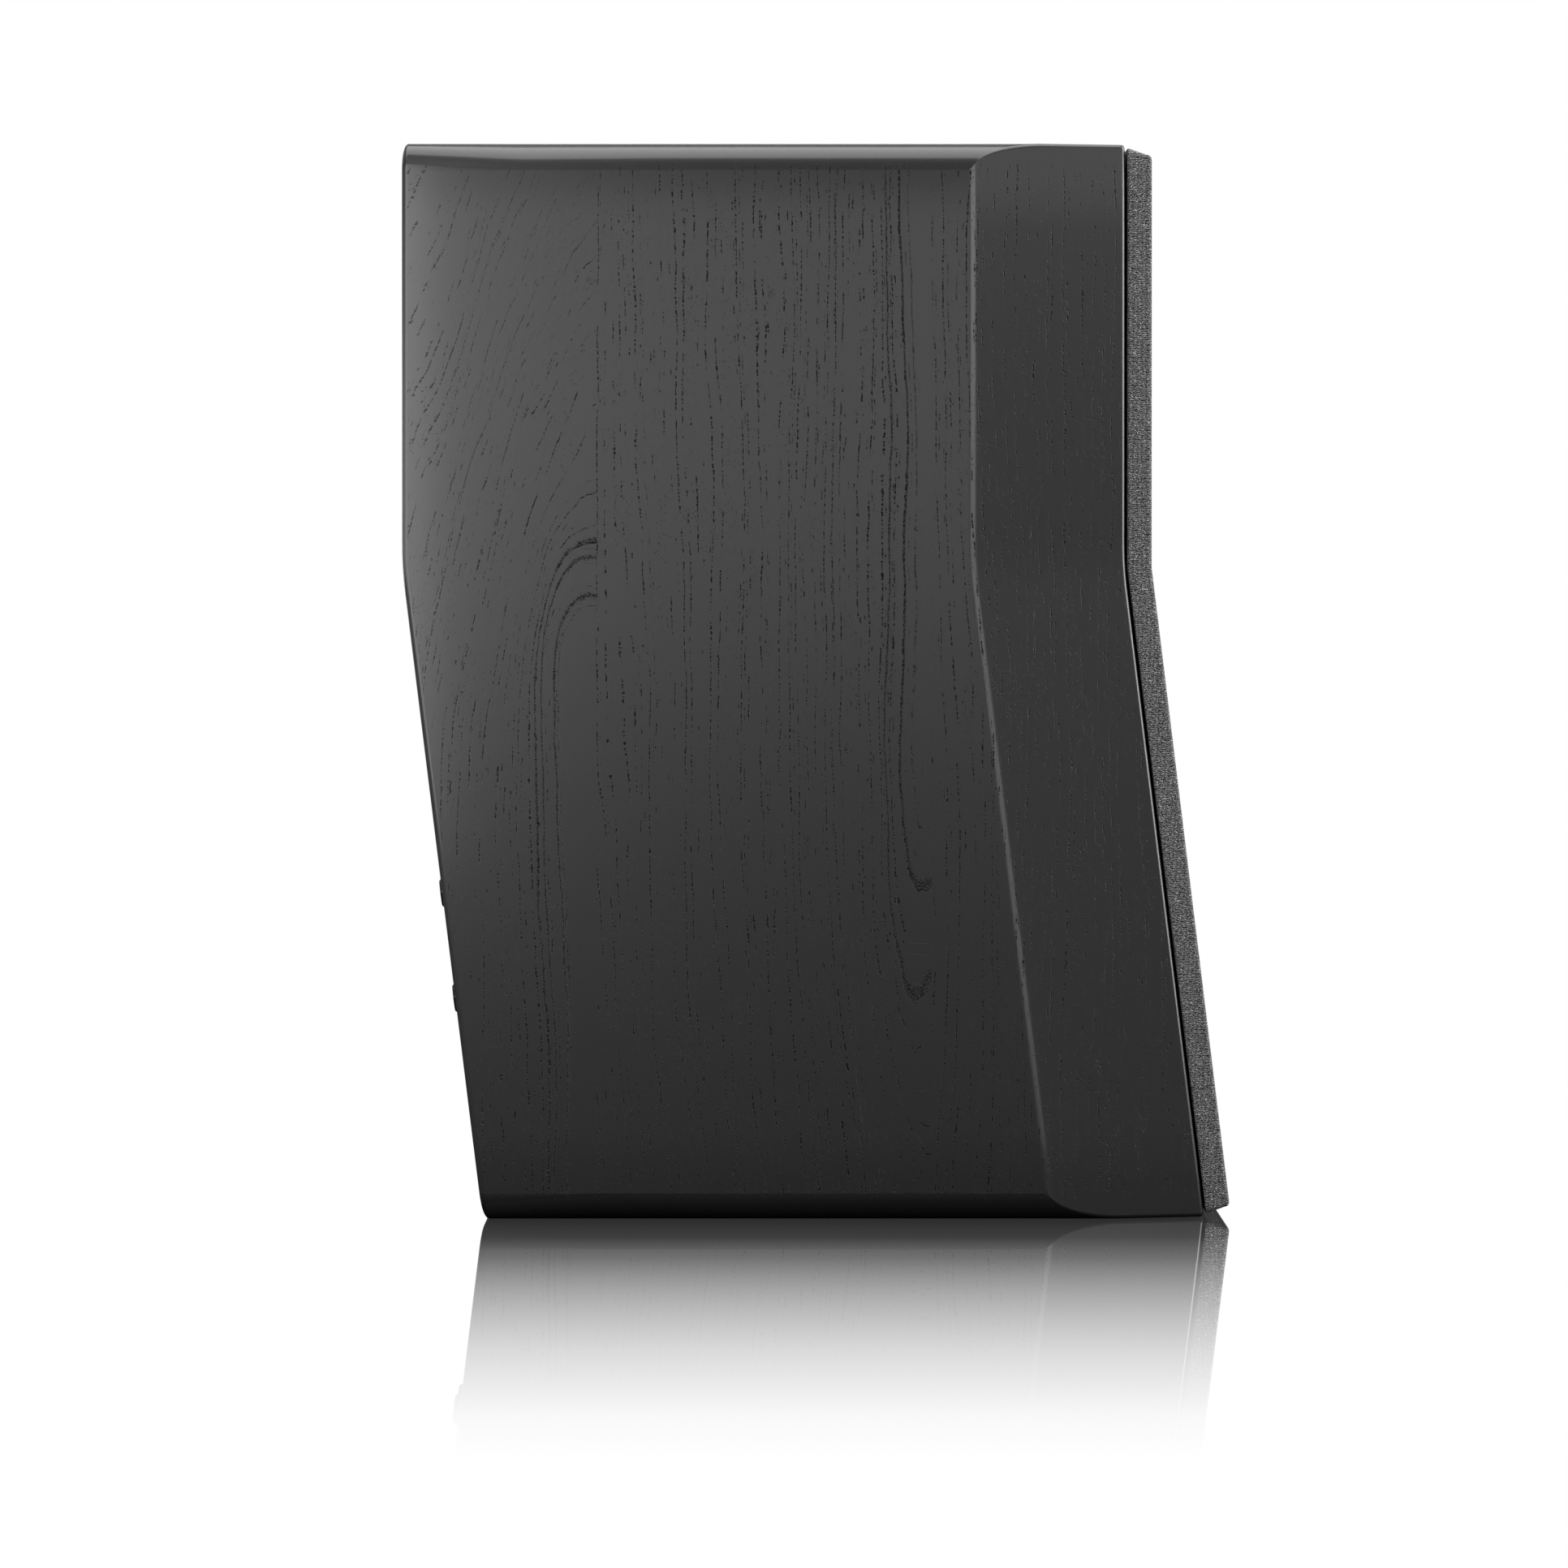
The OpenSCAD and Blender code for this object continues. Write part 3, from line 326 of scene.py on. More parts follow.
class Graph:
    """Short forms for building a node tree."""

    def __init__(self, tree):
        self.tree = tree

    def node(self, kind, props=None, **inputs):
        n = self.tree.nodes.new(kind)
        for key, value in (props or {}).items():
            setattr(n, key, value)
        for key, value in inputs.items():
            self.put(n.inputs[key], value)
        return n

    def put(self, socket, value):
        if hasattr(value, "is_output"):
            self.tree.links.new(value, socket)
        elif value is not None:
            socket.default_value = value

    def math(self, operation, a, b=None):
        n = self.node("ShaderNodeMath", {"operation": operation})
        for socket, value in zip(n.inputs, (a, b)):
            self.put(socket, value)
        return n.outputs[0]

    def add(self, a, b):
        return self.math("ADD", a, b)

    def sub(self, a, b):
        return self.math("SUBTRACT", a, b)

    def mul(self, a, b):
        return self.math("MULTIPLY", a, b)

    def div(self, a, b):
        return self.math("DIVIDE", a, b)

    def gap(self, a, b):
        """How far apart two values are."""
        return self.math("ABSOLUTE", self.sub(a, b))

    def hypot(self, a, b):
        return self.math("SQRT", self.add(self.mul(a, a), self.mul(b, b)))

    def map_range(self, value, lo, hi, to_lo=0.0, to_hi=1.0, smooth=False):
        n = self.node("ShaderNodeMapRange")
        if smooth:
            n.interpolation_type = "SMOOTHSTEP"
        sockets = ("Value", "From Min", "From Max", "To Min", "To Max")
        for key, v in zip(sockets, (value, lo, hi, to_lo, to_hi)):
            self.put(n.inputs[key], v)
        return n.outputs["Result"]

    def ramp(self, value, stops):
        n = self.node("ShaderNodeValToRGB", Fac=value)
        elements = n.color_ramp.elements
        while len(elements) < len(stops):
            elements.new(0.5)
        for element, (at, colour) in zip(elements, stops):
            element.position = at
            element.color = (*colour, 1)
        return n.outputs["Color"]

    def mix(self, factor, a, b):
        n = self.node("ShaderNodeMix", {"data_type": "RGBA"})
        self.put(n.inputs[0], factor)
        for socket, value in ((n.inputs[6], a), (n.inputs[7], b)):
            self.put(socket, value if hasattr(value, "is_output") else (*value, 1))
        return n.outputs[2]

    def choose(self, first, a, b):
        """a where first is 1, and b elsewhere."""
        n = self.node("ShaderNodeMix", {"data_type": "FLOAT"})
        for socket, value in zip((n.inputs[0], n.inputs[2], n.inputs[3]), (first, b, a)):
            self.put(socket, value)
        return n.outputs[0]

    def vector(self, x, y, z):
        return self.node("ShaderNodeCombineXYZ", X=x, Y=y, Z=z).outputs[0]

    def split(self, vector):
        return self.node("ShaderNodeSeparateXYZ", Vector=vector).outputs

    def scaled(self, vector, x, y, z):
        n = self.node("ShaderNodeVectorMath", {"operation": "MULTIPLY"})
        self.put(n.inputs[0], vector)
        n.inputs[1].default_value = (x, y, z)
        return n.outputs[0]

    def place(self, scale=None):
        """Where the point is on its object, in metres, or times scale."""
        at = self.node("ShaderNodeTexCoord").outputs["Object"]
        return self.scaled(at, scale, scale, scale) if scale else at

    def noise(self, vector, scale, detail=2.0, rough=0.5):
        return self.node("ShaderNodeTexNoise", Vector=vector, Scale=scale, Detail=detail,
                         Roughness=rough).outputs["Fac"]

    def streaks(self, u, v, seed, detail, rough=0.5):
        """Noise over two values that are already to scale, with another pattern for each seed."""
        return self.noise(self.vector(u, v, seed), 1.0, detail, rough)

    def voronoi(self, vector, scale, randomness=1.0):
        """Distance to the nearest of a field of scattered points."""
        return self.node("ShaderNodeTexVoronoi", {"feature": "F1"}, Vector=vector, Scale=scale,
                         Randomness=randomness).outputs["Distance"]

    def bump(self, height, distance, strength=1.0):
        return self.node("ShaderNodeBump", Strength=strength, Distance=distance,
                         Height=height).outputs["Normal"]

    def finish(self, colour, roughness, normal, **more):
        """Links the results to the shader. more names other sockets, with _ for a space."""
        results = {"Base Color": colour, "Roughness": roughness, "Normal": normal, **more}
        for key, value in results.items():
            self.put(self.shader.inputs[key.replace("_", " ")], value)
        return self.material


def start_material(name, **settings):
    """The graph of a new material. settings are the shader's own sockets, with _ for a space."""
    material = bpy.data.materials.new(name)
    material.use_nodes = True
    g = Graph(material.node_tree)
    g.material = material
    g.shader = material.node_tree.nodes["Principled BSDF"]
    for key, value in settings.items():
        g.shader.inputs[key.replace("_", " ")].default_value = value
    return g


def surface(name, colour, roughness, grain=600, depth=0.02 * MM, mottle=0.15, **settings):
    """Moulded, painted, cast or woven finish: a colour that varies a little and a fine bump."""
    g = start_material(name, **settings)
    fine = g.noise(g.place(), grain, 3)
    broad = g.noise(g.place(), 35, 2)
    dark = [c * (1 - mottle) for c in colour]
    light = [min(1, c * (1 + mottle)) for c in colour]
    return g.finish(g.mix(broad, dark, light),
                    g.map_range(fine, 0.3, 0.7, roughness - 0.06, roughness + 0.06), g.bump(fine, depth))


def metal(name, colour, roughness, grain=900):
    return surface(name, colour, roughness, grain, 0.006 * MM, 0.06, Metallic=1.0)


# ---- Wood ----

# Measured over the side in millimetres: Y runs to the rear, and Z runs up. A growth line is known by
# its number: how far it runs beside its seam. The middle leaf's numbers start at 300, and the front
# leaf's at 700.
SEAM_REAR = 78.0  # where two leaves of veneer meet
SEAM_FRONT = -40.4
ARCH_REAR = (174.5, 3.1)  # the height where the arches start, and their slimness
ARCH_FRONT = (170.6, 7.0)
ARCH_POWERS = (3.2, 1.35)  # 1 gives straight slopes, 2 full ellipses and more a blunt crown
ARCH_TURNS = (19, 32)  # the lines between which the power changes
MIDDLE_LINES, FRONT_LINES = 300.0, 700.0
REAR_LINES_END = 200.0
CALM_REAR = (9, 13)  # inside the heart of an arch there are hardly any pores
CALM_MIDDLE = (304, 309)
FAINT_REAR = (32, 62)  # and high on the rear leaf they are faint
BEVEL_PORES = 0.85  # how strongly the pores show on the bevels
PORES_STOP = (8.5, 6.5)  # and how close to the top and bottom they stop
HEART_LINES = (12.7, 17.2, 19.4, 310, 315.2)
STAIN_DARK, STAIN_LIGHT = (0.021, 0.021, 0.0215), (0.029, 0.029, 0.0295)
PORE_COLOUR = (0.002, 0.002, 0.002)
PORE_DEPTH = 0.06 * MM


def arches(g, across, up, seam, foot, slim, sense):
    """Growth lines that run upright beside a seam and arch over towards it: the inner ones are blunt
    and the outer ones slope. Gives the line's number in millimetres, and how many of those there are
    to a true millimetre."""
    side = g.math("MAXIMUM", g.gap(across, seam), 0.01)
    rise = g.math("MAXIMUM", g.mul(g.sub(up, foot), sense / slim), 0.01)
    power = g.map_range(g.hypot(side, rise), *ARCH_TURNS, *ARCH_POWERS)
    total = g.add(g.math("POWER", side, power), g.math("POWER", rise, power))
    line = g.math("POWER", total, g.div(1.0, power))
    less = g.sub(power, 1.0)
    over = g.math("POWER", g.div(side, line), less)
    along = g.div(g.math("POWER", g.div(rise, line), less), slim)
    return line, g.hypot(over, along)


def growth_lines(g, across, up):
    """The three leaves of veneer, side by side: two arch over towards a seam and one is straight."""
    rear, rear_steep = arches(g, across, up, SEAM_REAR, *ARCH_REAR, 1)
    middle, middle_steep = arches(g, across, up, SEAM_FRONT, *ARCH_FRONT, -1)
    in_rear = g.math("GREATER_THAN", across, SEAM_REAR)
    in_front = g.math("LESS_THAN", across, SEAM_FRONT)
    line = g.choose(in_rear, rear, g.add(middle, MIDDLE_LINES))
    steep = g.choose(in_rear, rear_steep, middle_steep)
    return g.choose(in_front, g.add(across, FRONT_LINES), line), g.choose(in_front, 1.0, steep)


def vessel_rows(g, line, steep, along, spacing, half, length, seed, share):
    """Rows of short ragged pores that follow the growth lines. half is half their width, length is
    about a dash's, and a higher share leaves fewer of them."""
    cell = g.math("FLOOR", g.div(line, spacing))
    chance = g.node("ShaderNodeTexWhiteNoise", {"noise_dimensions": "1D"}, W=g.add(cell, seed))
    chance = chance.outputs["Value"]
    place = g.mul(g.add(cell, g.map_range(chance, 0, 1, 0.2, 0.8)), spacing)
    off = g.div(g.gap(line, place), steep)
    ragged = g.streaks(g.mul(line, 1.4), g.mul(along, 1.1), seed, 1)
    off = g.add(off, g.map_range(ragged, 0.25, 0.75, -half, half))
    near = g.map_range(off, half * 0.5, half * 1.1, 1.0, 0.0)
    dash = g.streaks(g.mul(cell, 7.31), g.div(along, length), seed, 2, 0.65)
    bead = g.streaks(g.mul(cell, 3.7), g.div(along, 0.8), seed + 4, 1)
    level = g.map_range(chance, 0, 1, share, share + 0.2)
    broken = g.map_range(g.sub(dash, level), 0.0, 0.05)
    return g.mul(g.mul(near, broken), g.map_range(bead, 0.44, 0.52))


def heart_rows(g, line, along, fleck):
    """The bold open rows round the heart of each arch. They are wide where they cross the seam."""
    total = None
    for place in HEART_LINES:
        ragged = g.streaks(g.mul(fleck, 1.6), g.mul(along, 1.6), place, 2)
        fine = g.streaks(g.mul(fleck, 3.2), g.mul(along, 2.4), place, 1)
        off = g.add(g.gap(line, place), g.map_range(ragged, 0.3, 0.7, -0.24, 0.24))
        near = g.mul(g.map_range(off, 0.14, 0.38, 1.0, 0.0), g.map_range(fine, 0.43, 0.50))
        total = near if total is None else g.math("MAXIMUM", total, near)
    return total


def fine_specks(g, line, along):
    """Tiny scattered pores, in patches."""
    specks = g.voronoi(g.vector(g.mul(line, 1.3), g.mul(along, 0.6), 0.0), 1.0)
    patches = g.streaks(g.mul(line, 0.16), g.mul(along, 0.03), 4.0, 1)
    return g.mul(g.map_range(specks, 0.12, 0.2, 0.8, 0.0), g.map_range(patches, 0.42, 0.62))


def pore_strength(g, line):
    """Where the pores are left out or faint: from 0 to 1."""
    rear_only = g.math("LESS_THAN", line, REAR_LINES_END)
    calm = g.mul(g.map_range(line, *CALM_REAR), g.add(g.map_range(line, *CALM_MIDDLE), rear_only))
    beyond_rear = g.math("GREATER_THAN", line, REAR_LINES_END)
    faint = g.math("MAXIMUM", g.map_range(line, *FAINT_REAR, 1.0, 0.5), beyond_rear)
    return g.math("MINIMUM", g.mul(calm, faint), 1.0)


def wood(name, use_map=True):
    """Black-stained open-grain oak under satin lacquer. The pores are sunk, and follow the grain."""
    g = start_material(name, Coat_Roughness=0.17, Specular_IOR_Level=0.4)
    x, y, up = g.split(g.place(1000))
    across, along = x, up
    if use_map:
        uv = g.node("ShaderNodeUVMap", {"uv_map": "grain"}).outputs["UV"]
        across, along, _ = g.split(g.scaled(uv, 1000, 1000, 1000))
    slow = g.noise(g.vector(g.mul(across, 0.9), g.mul(along, 0.22), 3.0), 0.02, 2)
    quick = g.noise(g.vector(across, g.mul(along, 0.3), 9.0), 0.11, 2)
    line, steep = growth_lines(g, across, up)
    line = g.add(line, g.map_range(slow, 0, 1, -11, 11))
    line = g.add(line, g.map_range(quick, 0, 1, -1.2, 1.2))
    rows = vessel_rows(g, line, steep, along, spacing=3.4, half=0.22, length=14.0, seed=1.7, share=0.38)
    more = vessel_rows(g, line, steep, along, spacing=1.9, half=0.17, length=6.0, seed=5.3, share=0.5)
    pores = g.add(g.add(rows, more), fine_specks(g, line, along))
    pores = g.add(g.mul(pores, pore_strength(g, line)), heart_rows(g, line, along, y))
    pores = g.math("MINIMUM", pores, 1.0)
    if use_map:
        half_height = HEIGHT * 500
        stop, end = (half_height - s for s in PORES_STOP)
        pores = g.mul(pores, g.map_range(g.gap(up, half_height), stop, end, 1.0, 0.0))
    facing = g.split(g.node("ShaderNodeTexCoord").outputs["Normal"])
    pores = g.mul(pores, g.map_range(facing["Y"], -0.25, -0.1, BEVEL_PORES, 1.0))
    fibre = g.streaks(g.mul(line, 3.0), g.mul(along, 0.12), 0.0, 3)
    bump = g.bump(g.sub(g.mul(fibre, 0.06), pores), PORE_DEPTH)
    return g.finish(g.mix(pores, g.mix(fibre, STAIN_DARK, STAIN_LIGHT), PORE_COLOUR),
                    g.add(g.map_range(fibre, 0.3, 0.7, 0.42, 0.46), g.mul(pores, 0.5)), bump,
                    Coat_Weight=g.map_range(pores, 0, 0.7, 0.8, 0.0), Coat_Normal=bump)


# ---- Other finishes ----

WHITE = (1, 1, 1, 1)


def floor_material():
    """White, with a mirror finish that fades with the distance from the object's foot."""
    g = start_material("pale_floor")
    g.tree.nodes.remove(g.shader)
    x, y, _ = g.split(g.place())
    beyond_x, beyond_y = (g.math("MAXIMUM", g.sub(g.math("ABSOLUTE", at), reach), 0.0)
                          for at, reach in ((x, HALF_W - EDGE_R), (y, DEPTH / 2)))
    away = g.map_range(g.hypot(beyond_x, beyond_y), 0, FLOOR_SHINE_REACH)
    shine = g.ramp(away, [(at, (v, v, v)) for at, v in FLOOR_SHINE])
    mix = g.node("ShaderNodeMixShader", Fac=shine)
    g.put(mix.inputs[1], g.node("ShaderNodeEmission", Color=WHITE, Strength=1.0).outputs[0])
    g.put(mix.inputs[2], g.node("ShaderNodeBsdfGlossy", Color=WHITE, Roughness=0.0).outputs[0])
    g.put(g.tree.nodes["Material Output"].inputs["Surface"], mix.outputs[0])
    return g.material


def white_glow():
    g = start_material("white_surround")
    glow = g.node("ShaderNodeEmission", Color=WHITE, Strength=1.0)
    g.put(g.tree.nodes["Material Output"].inputs["Surface"], glow.outputs[0])
    return g.material


RIB_PITCH, LOOP_PITCH = 0.66, 1.05  # of the knit, in millimetres
# Colour by the knit's height: painted shade in the hollows, up to the pale grey yarn on the crests
KNIT_PAINTED_SHADE_RAMP = [(0.0, (0.006, 0.006, 0.007)), (0.4, (0.06, 0.06, 0.062)), (0.75, (0.25, 0.25, 0.255)),
               (1.0, (0.6, 0.6, 0.61))]


def knit():
    """Grey acoustic knit: uneven courses of small loops of pale grey yarn. The colour follows the relief:
    painted shade darkens the hollows between the loops.
    """
    g = start_material("grille_knit", Sheen_Weight=0.25, Sheen_Roughness=0.5, Specular_IOR_Level=0.25)
    x, y, z = g.split(g.place(1000))
    wander = g.noise(g.place(1000), 1.1, 3)
    side = g.add(x, y)
    course = g.add(z, g.map_range(wander, 0, 1, -0.9, 0.9))
    rib = g.math("SINE", g.mul(course, 2 * pi / RIB_PITCH))
    loop = g.math("SINE", g.add(g.mul(side, 2 * pi / LOOP_PITCH), g.mul(wander, 9.0)))
    yarn = g.noise(g.vector(side, g.mul(course, 1.9), x), 2.7, 2)
    height = g.add(g.add(g.mul(rib, 0.44), g.mul(loop, 0.07)), g.map_range(yarn, 0, 1, -1.0, 1.0))
    shade = g.map_range(height, -0.5, 0.58)
    # The colour follows the relief: painted shade in the hollows, pale yarn on the crests
    return g.finish(g.ramp(shade, KNIT_PAINTED_SHADE_RAMP), g.map_range(shade, 0, 1, 0.9, 0.6),
                    g.bump(shade, 0.35 * MM, 0.8))


def winding(name, colour):
    """Rows of enamelled wire, one above the other along Z, with painted shade darkening the grooves between
    them.
    """
    g = start_material(name, Metallic=1.0)
    rows = g.math("SINE", g.mul(g.split(g.place())["Z"], 2 * pi / (0.9 * MM)))
    # The grooves between the turns are darkened: painted shade
    return g.finish(g.mix(g.map_range(rows, -1, 1), [c * 0.45 for c in colour], colour),
                    g.map_range(rows, -1, 1, 0.45, 0.25), g.bump(rows, 0.2 * MM, 0.6))


def board_material():
    """Green solder mask over wide copper tracks."""
    g = start_material("solder_mask", Coat_Weight=0.3)
    track = g.map_range(g.voronoi(g.scaled(g.place(), 1, 1, 0), 70, 0.35), 0.42, 0.46)
    return g.finish(g.mix(track, (0.015, 0.10, 0.04), (0.03, 0.19, 0.08)),
                    g.map_range(track, 0, 1, 0.35, 0.5), g.bump(track, 0.05 * MM))


def two_colour_lead():
    """Soft insulation: red on the plus side and black on the other."""
    g = start_material("lead_insulation")
    fine = g.noise(g.place(), 900, 2)
    plus = g.math("GREATER_THAN", g.split(g.place())["X"], 0.0)
    return g.finish(g.mix(plus, (0.02, 0.02, 0.02), (0.4, 0.02, 0.015)),
                    g.map_range(fine, 0.3, 0.7, 0.45, 0.6), g.bump(fine, 0.02 * MM))


def make_finishes():
    """The finish slots, each with its material."""
    black = (0.012, 0.012, 0.0125)
    finishes = {
        "black_oak": wood("black_oak"),
        "black_oak_flat": wood("black_oak_flat", use_map=False),
        "black_panel": surface("satin_paint", (0.014, 0.014, 0.0145), 0.42, 700, 0.01 * MM),
        "circuit_board": board_material(),
        "copper_wire": winding("copper_coil", (0.72, 0.34, 0.16)),
        "red_insulation": two_colour_lead(),
        "grille_cloth": knit(),
    }

    def add(kind, name, *values, **settings):
        finishes[name] = kind(name, *values, **settings)

    add(surface, "stained_edge", (0.025, 0.025, 0.0255), 0.44, 800, 0.01 * MM,
        Coat_Weight=0.8, Coat_Roughness=0.17, Specular_IOR_Level=0.4)
    add(surface, "bare_board", (0.36, 0.26, 0.16), 0.85, 500, 0.08 * MM, 0.3)
    add(surface, "wadding", (0.7, 0.7, 0.68), 0.95, 260, 0.8 * MM, 0.1, Sheen_Weight=0.4)
    add(surface, "moulded_black", black, 0.48, 1500, 0.03 * MM)
    add(surface, "gloss_black", black, 0.2, 300, 0.004 * MM, Coat_Weight=0.4)
    add(surface, "gloss_red", (0.36, 0.006, 0.006), 0.22, 300, 0.004 * MM, Coat_Weight=0.4)
    add(surface, "film_wrap", (0.62, 0.42, 0.07), 0.3, 200, 0.01 * MM)
    add(surface, "ceramic", (0.72, 0.70, 0.64), 0.8, 700, 0.06 * MM)
    add(surface, "cast_alloy", (0.022, 0.022, 0.023), 0.5, 1100, 0.06 * MM, Metallic=0.4)
    add(surface, "foam_rubber", (0.012, 0.012, 0.012), 0.9, 1800, 0.1 * MM)
    add(surface, "roll_rubber", (0.013, 0.013, 0.013), 0.5, 500, 0.01 * MM)
    add(surface, "resin_cloth", (0.5, 0.33, 0.1), 0.8, 1600, 0.15 * MM, 0.2)
    add(surface, "ferrite", (0.05, 0.05, 0.053), 0.6, 900, 0.04 * MM)
    add(surface, "cone_composite", (0.03, 0.03, 0.032), 0.36, 420, 0.05 * MM, 0.35)
    add(surface, "satin_faceplate", (0.016, 0.016, 0.017), 0.4, 900, 0.015 * MM)
    add(surface, "guard_mesh", (0.02, 0.02, 0.02), 0.45, 900, 0.01 * MM, Metallic=0.3)
    add(metal, "gold_plate", (0.83, 0.58, 0.24), 0.2)
    add(metal, "bright_steel", (0.6, 0.6, 0.61), 0.32, 700)
    add(metal, "black_steel", (0.06, 0.06, 0.062), 0.38)
    add(metal, "foil_former", (0.7, 0.7, 0.72), 0.25)
    add(metal, "dome_metal", (0.78, 0.8, 0.83), 0.24)
    add(metal, "magnet_nickel", (0.68, 0.67, 0.64), 0.16)
    add(metal, "tinsel", (0.66, 0.4, 0.25), 0.45, 2500)
    return finishes


FINISHES = make_finishes()

# ---- Cabinet ----

CREASE_R = 1.5 * MM  # softness of the bevel's curved border
CREASE_HALF = 1.8 * MM  # half the width of the softened line where the bevel starts
FRONT_EDGE_R = 1.3 * MM
REAR_EDGE_R = 2.0 * MM
REAR_ROUND = 2.7  # how much deeper the rear edge's rounding is at the top and bottom
FILLET_STEPS = 4
ARC_STEPS = 12
END_STEPS = 5
SIDE_LEVELS = [z * MM for z in (14, 18, 22, 26, 31, 60, 110, 160, 200, 214, *range(220, 243, 2),
                                250, 290, 330, 350, 355, 359, 363, 367)]
EASE_LEN = 31 * MM  # where the sides start to curve in, from the top and bottom
EASE_IN = 0.45 * MM
BARE_BOARD, STAINED_EDGE = 1, 2  # the wrap's second and third finish


def bevel_inset(y):
    """How far the side has come in at y, measured on the upright profile, with a soft start."""
    ahead = Y_FRONT + BEVEL_LEN - y
    if ahead <= -CREASE_HALF:
        return 0.0
    if ahead >= CREASE_HALF:
        return ahead * TAPER
    return TAPER * (ahead + CREASE_HALF) ** 2 / (4 * CREASE_HALF)


def corner_points(half_w, top, arc_x, radius, soft):
    """Upper right corner of a ring, from the side to the top: a soft edge where the side cuts the
    arc, and then what is left of the arc."""
    centre_z = top - radius
    reach = half_w - soft - arc_x
    cut = max(acos(min(1.0, reach / (radius - soft))), radians(2)) if reach > 0 else pi / 2
    knee = Vector((half_w - soft, centre_z + (radius - soft) * sin(cut)))
    points = [knee + soft * Vector((cos(cut * i / FILLET_STEPS), sin(cut * i / FILLET_STEPS)))
              for i in range(FILLET_STEPS + 1)]
    for i in range(1, ARC_STEPS + 1):
        if reach > 0 and cut < radians(88):
            a = cut + (pi / 2 - cut) * i / ARC_STEPS
            points.append(Vector((arc_x + radius * cos(a), centre_z + radius * sin(a))))
        else:
            points.append(Vector((half_w - soft - i * 0.4 * MM, top)))
    return points


def ring(y, half_w, low, top, arc_x, radius, soft):
    """One closed cross-section of the wrap, moved with the lean of the profile."""
    return close_ring(y, half_w, low, top, corner_points(half_w, top, arc_x, radius, soft))


def eased(p):
    """The flat of the side starts to curve in a little before its edge with the top or bottom."""
    near = max(EASE_LEN - min(p.y, HEIGHT - p.y), 0.0) / (EASE_LEN - EDGE_R)
    share = min(max((p.x - (HALF_W - 3 * EDGE_R)) / EDGE_R, 0.0), 1.0)
    return Vector((p.x - EASE_IN * near * near * share, p.y))


def close_ring(y, half_w, low, top, upper):
    lower = [Vector((p.x, low + top - p.y)) for p in upper]
    side = [Vector((half_w, z)) for z in SIDE_LEVELS]
    right = [eased(p) for p in lower[::-1] + side + upper]
    loop = right + [Vector((-p.x, p.y)) for p in reversed(right)]
    return [Vector((p.x, y + lean(p.y), p.y)) for p in loop]


def outer_ring(y, inset):
    return ring(y, HALF_W - bevel_inset(y) - inset, inset, HEIGHT - inset, HALF_W - EDGE_R,
                EDGE_R - inset, min(CREASE_R, EDGE_R - inset - 0.1 * MM))


def inner_ring(y, half_w, rim):
    soft = 1.0 * MM
    return ring(y, half_w, rim, HEIGHT - rim, half_w - 2 * soft, 2 * soft, soft)


def end_rounding(edge, radius, sense):
    """(y, inset) pairs over a rounded end, from the flat of the rim outwards."""
    return [(edge + sense * radius * (1 - cos(a)), radius * (1 - sin(a)))
            for a in (pi / 2 * i / END_STEPS for i in range(END_STEPS + 1))]


def rear_ring(y, inset):
    """Section near the rear, where the top and bottom are rounded off more gently than the sides."""
    half_w, top = HALF_W - inset, HEIGHT - inset * REAR_ROUND
    middle_x, middle_z = HALF_W - EDGE_R, HEIGHT - EDGE_R
    steps = FILLET_STEPS + ARC_STEPS
    upper = [Vector((middle_x + (half_w - middle_x) * cos(a), middle_z + (top - middle_z) * sin(a)))
             for a in (pi / 2 * i / steps for i in range(steps + 1))]
    return close_ring(y, half_w, HEIGHT - top, top, upper)


def cabinet_rings():
    """Rings in order: round the front rim, back over the outside, and forward through the inside."""
    start = Y_FRONT + BEVEL_LEN
    steps = (44, 36, 30, 27, 25.5, 24, 21.5, 19, 16.5, 14, 12, 10, 8, 6.5, 5, 4, 3, 2.4, 1.8, 1.35, 0.9,
             0.45, 0, -0.45, -0.9, -1.35, -1.8, -2.4, -3.2, -20, -60, -110, -160)
    rings = [outer_ring(y, inset) for y, inset in end_rounding(Y_FRONT, FRONT_EDGE_R, 1)]
    rings += [outer_ring(start - s * MM, 0.0) for s in steps]
    rings += [rear_ring(y, inset) for y, inset in reversed(end_rounding(Y_REAR, REAR_EDGE_R, -1))]
    outside = len(rings)
    rear_seat, front_seat = Y_REAR - 18.5 * MM, Y_FRONT + 22.5 * MM
    rear, cavity, front = ((HALF_W - side * MM, rim * MM) for side, rim in ((6, 6), (22, 20), (22, 4)))
    for y, opening in ((Y_REAR, rear), (rear_seat, rear), (rear_seat, cavity),
                       (front_seat, cavity), (front_seat, front), (Y_FRONT, front)):
        rings.append(inner_ring(y, *opening))
    return rings, outside


def wrap_length(p):
    """Length along the veneer, which runs up one side, over the top and down the other."""
    f = (p.z - HEIGHT / 2) / (HEIGHT / 2)
    return p.z + f * (HALF_W - abs(p.x))


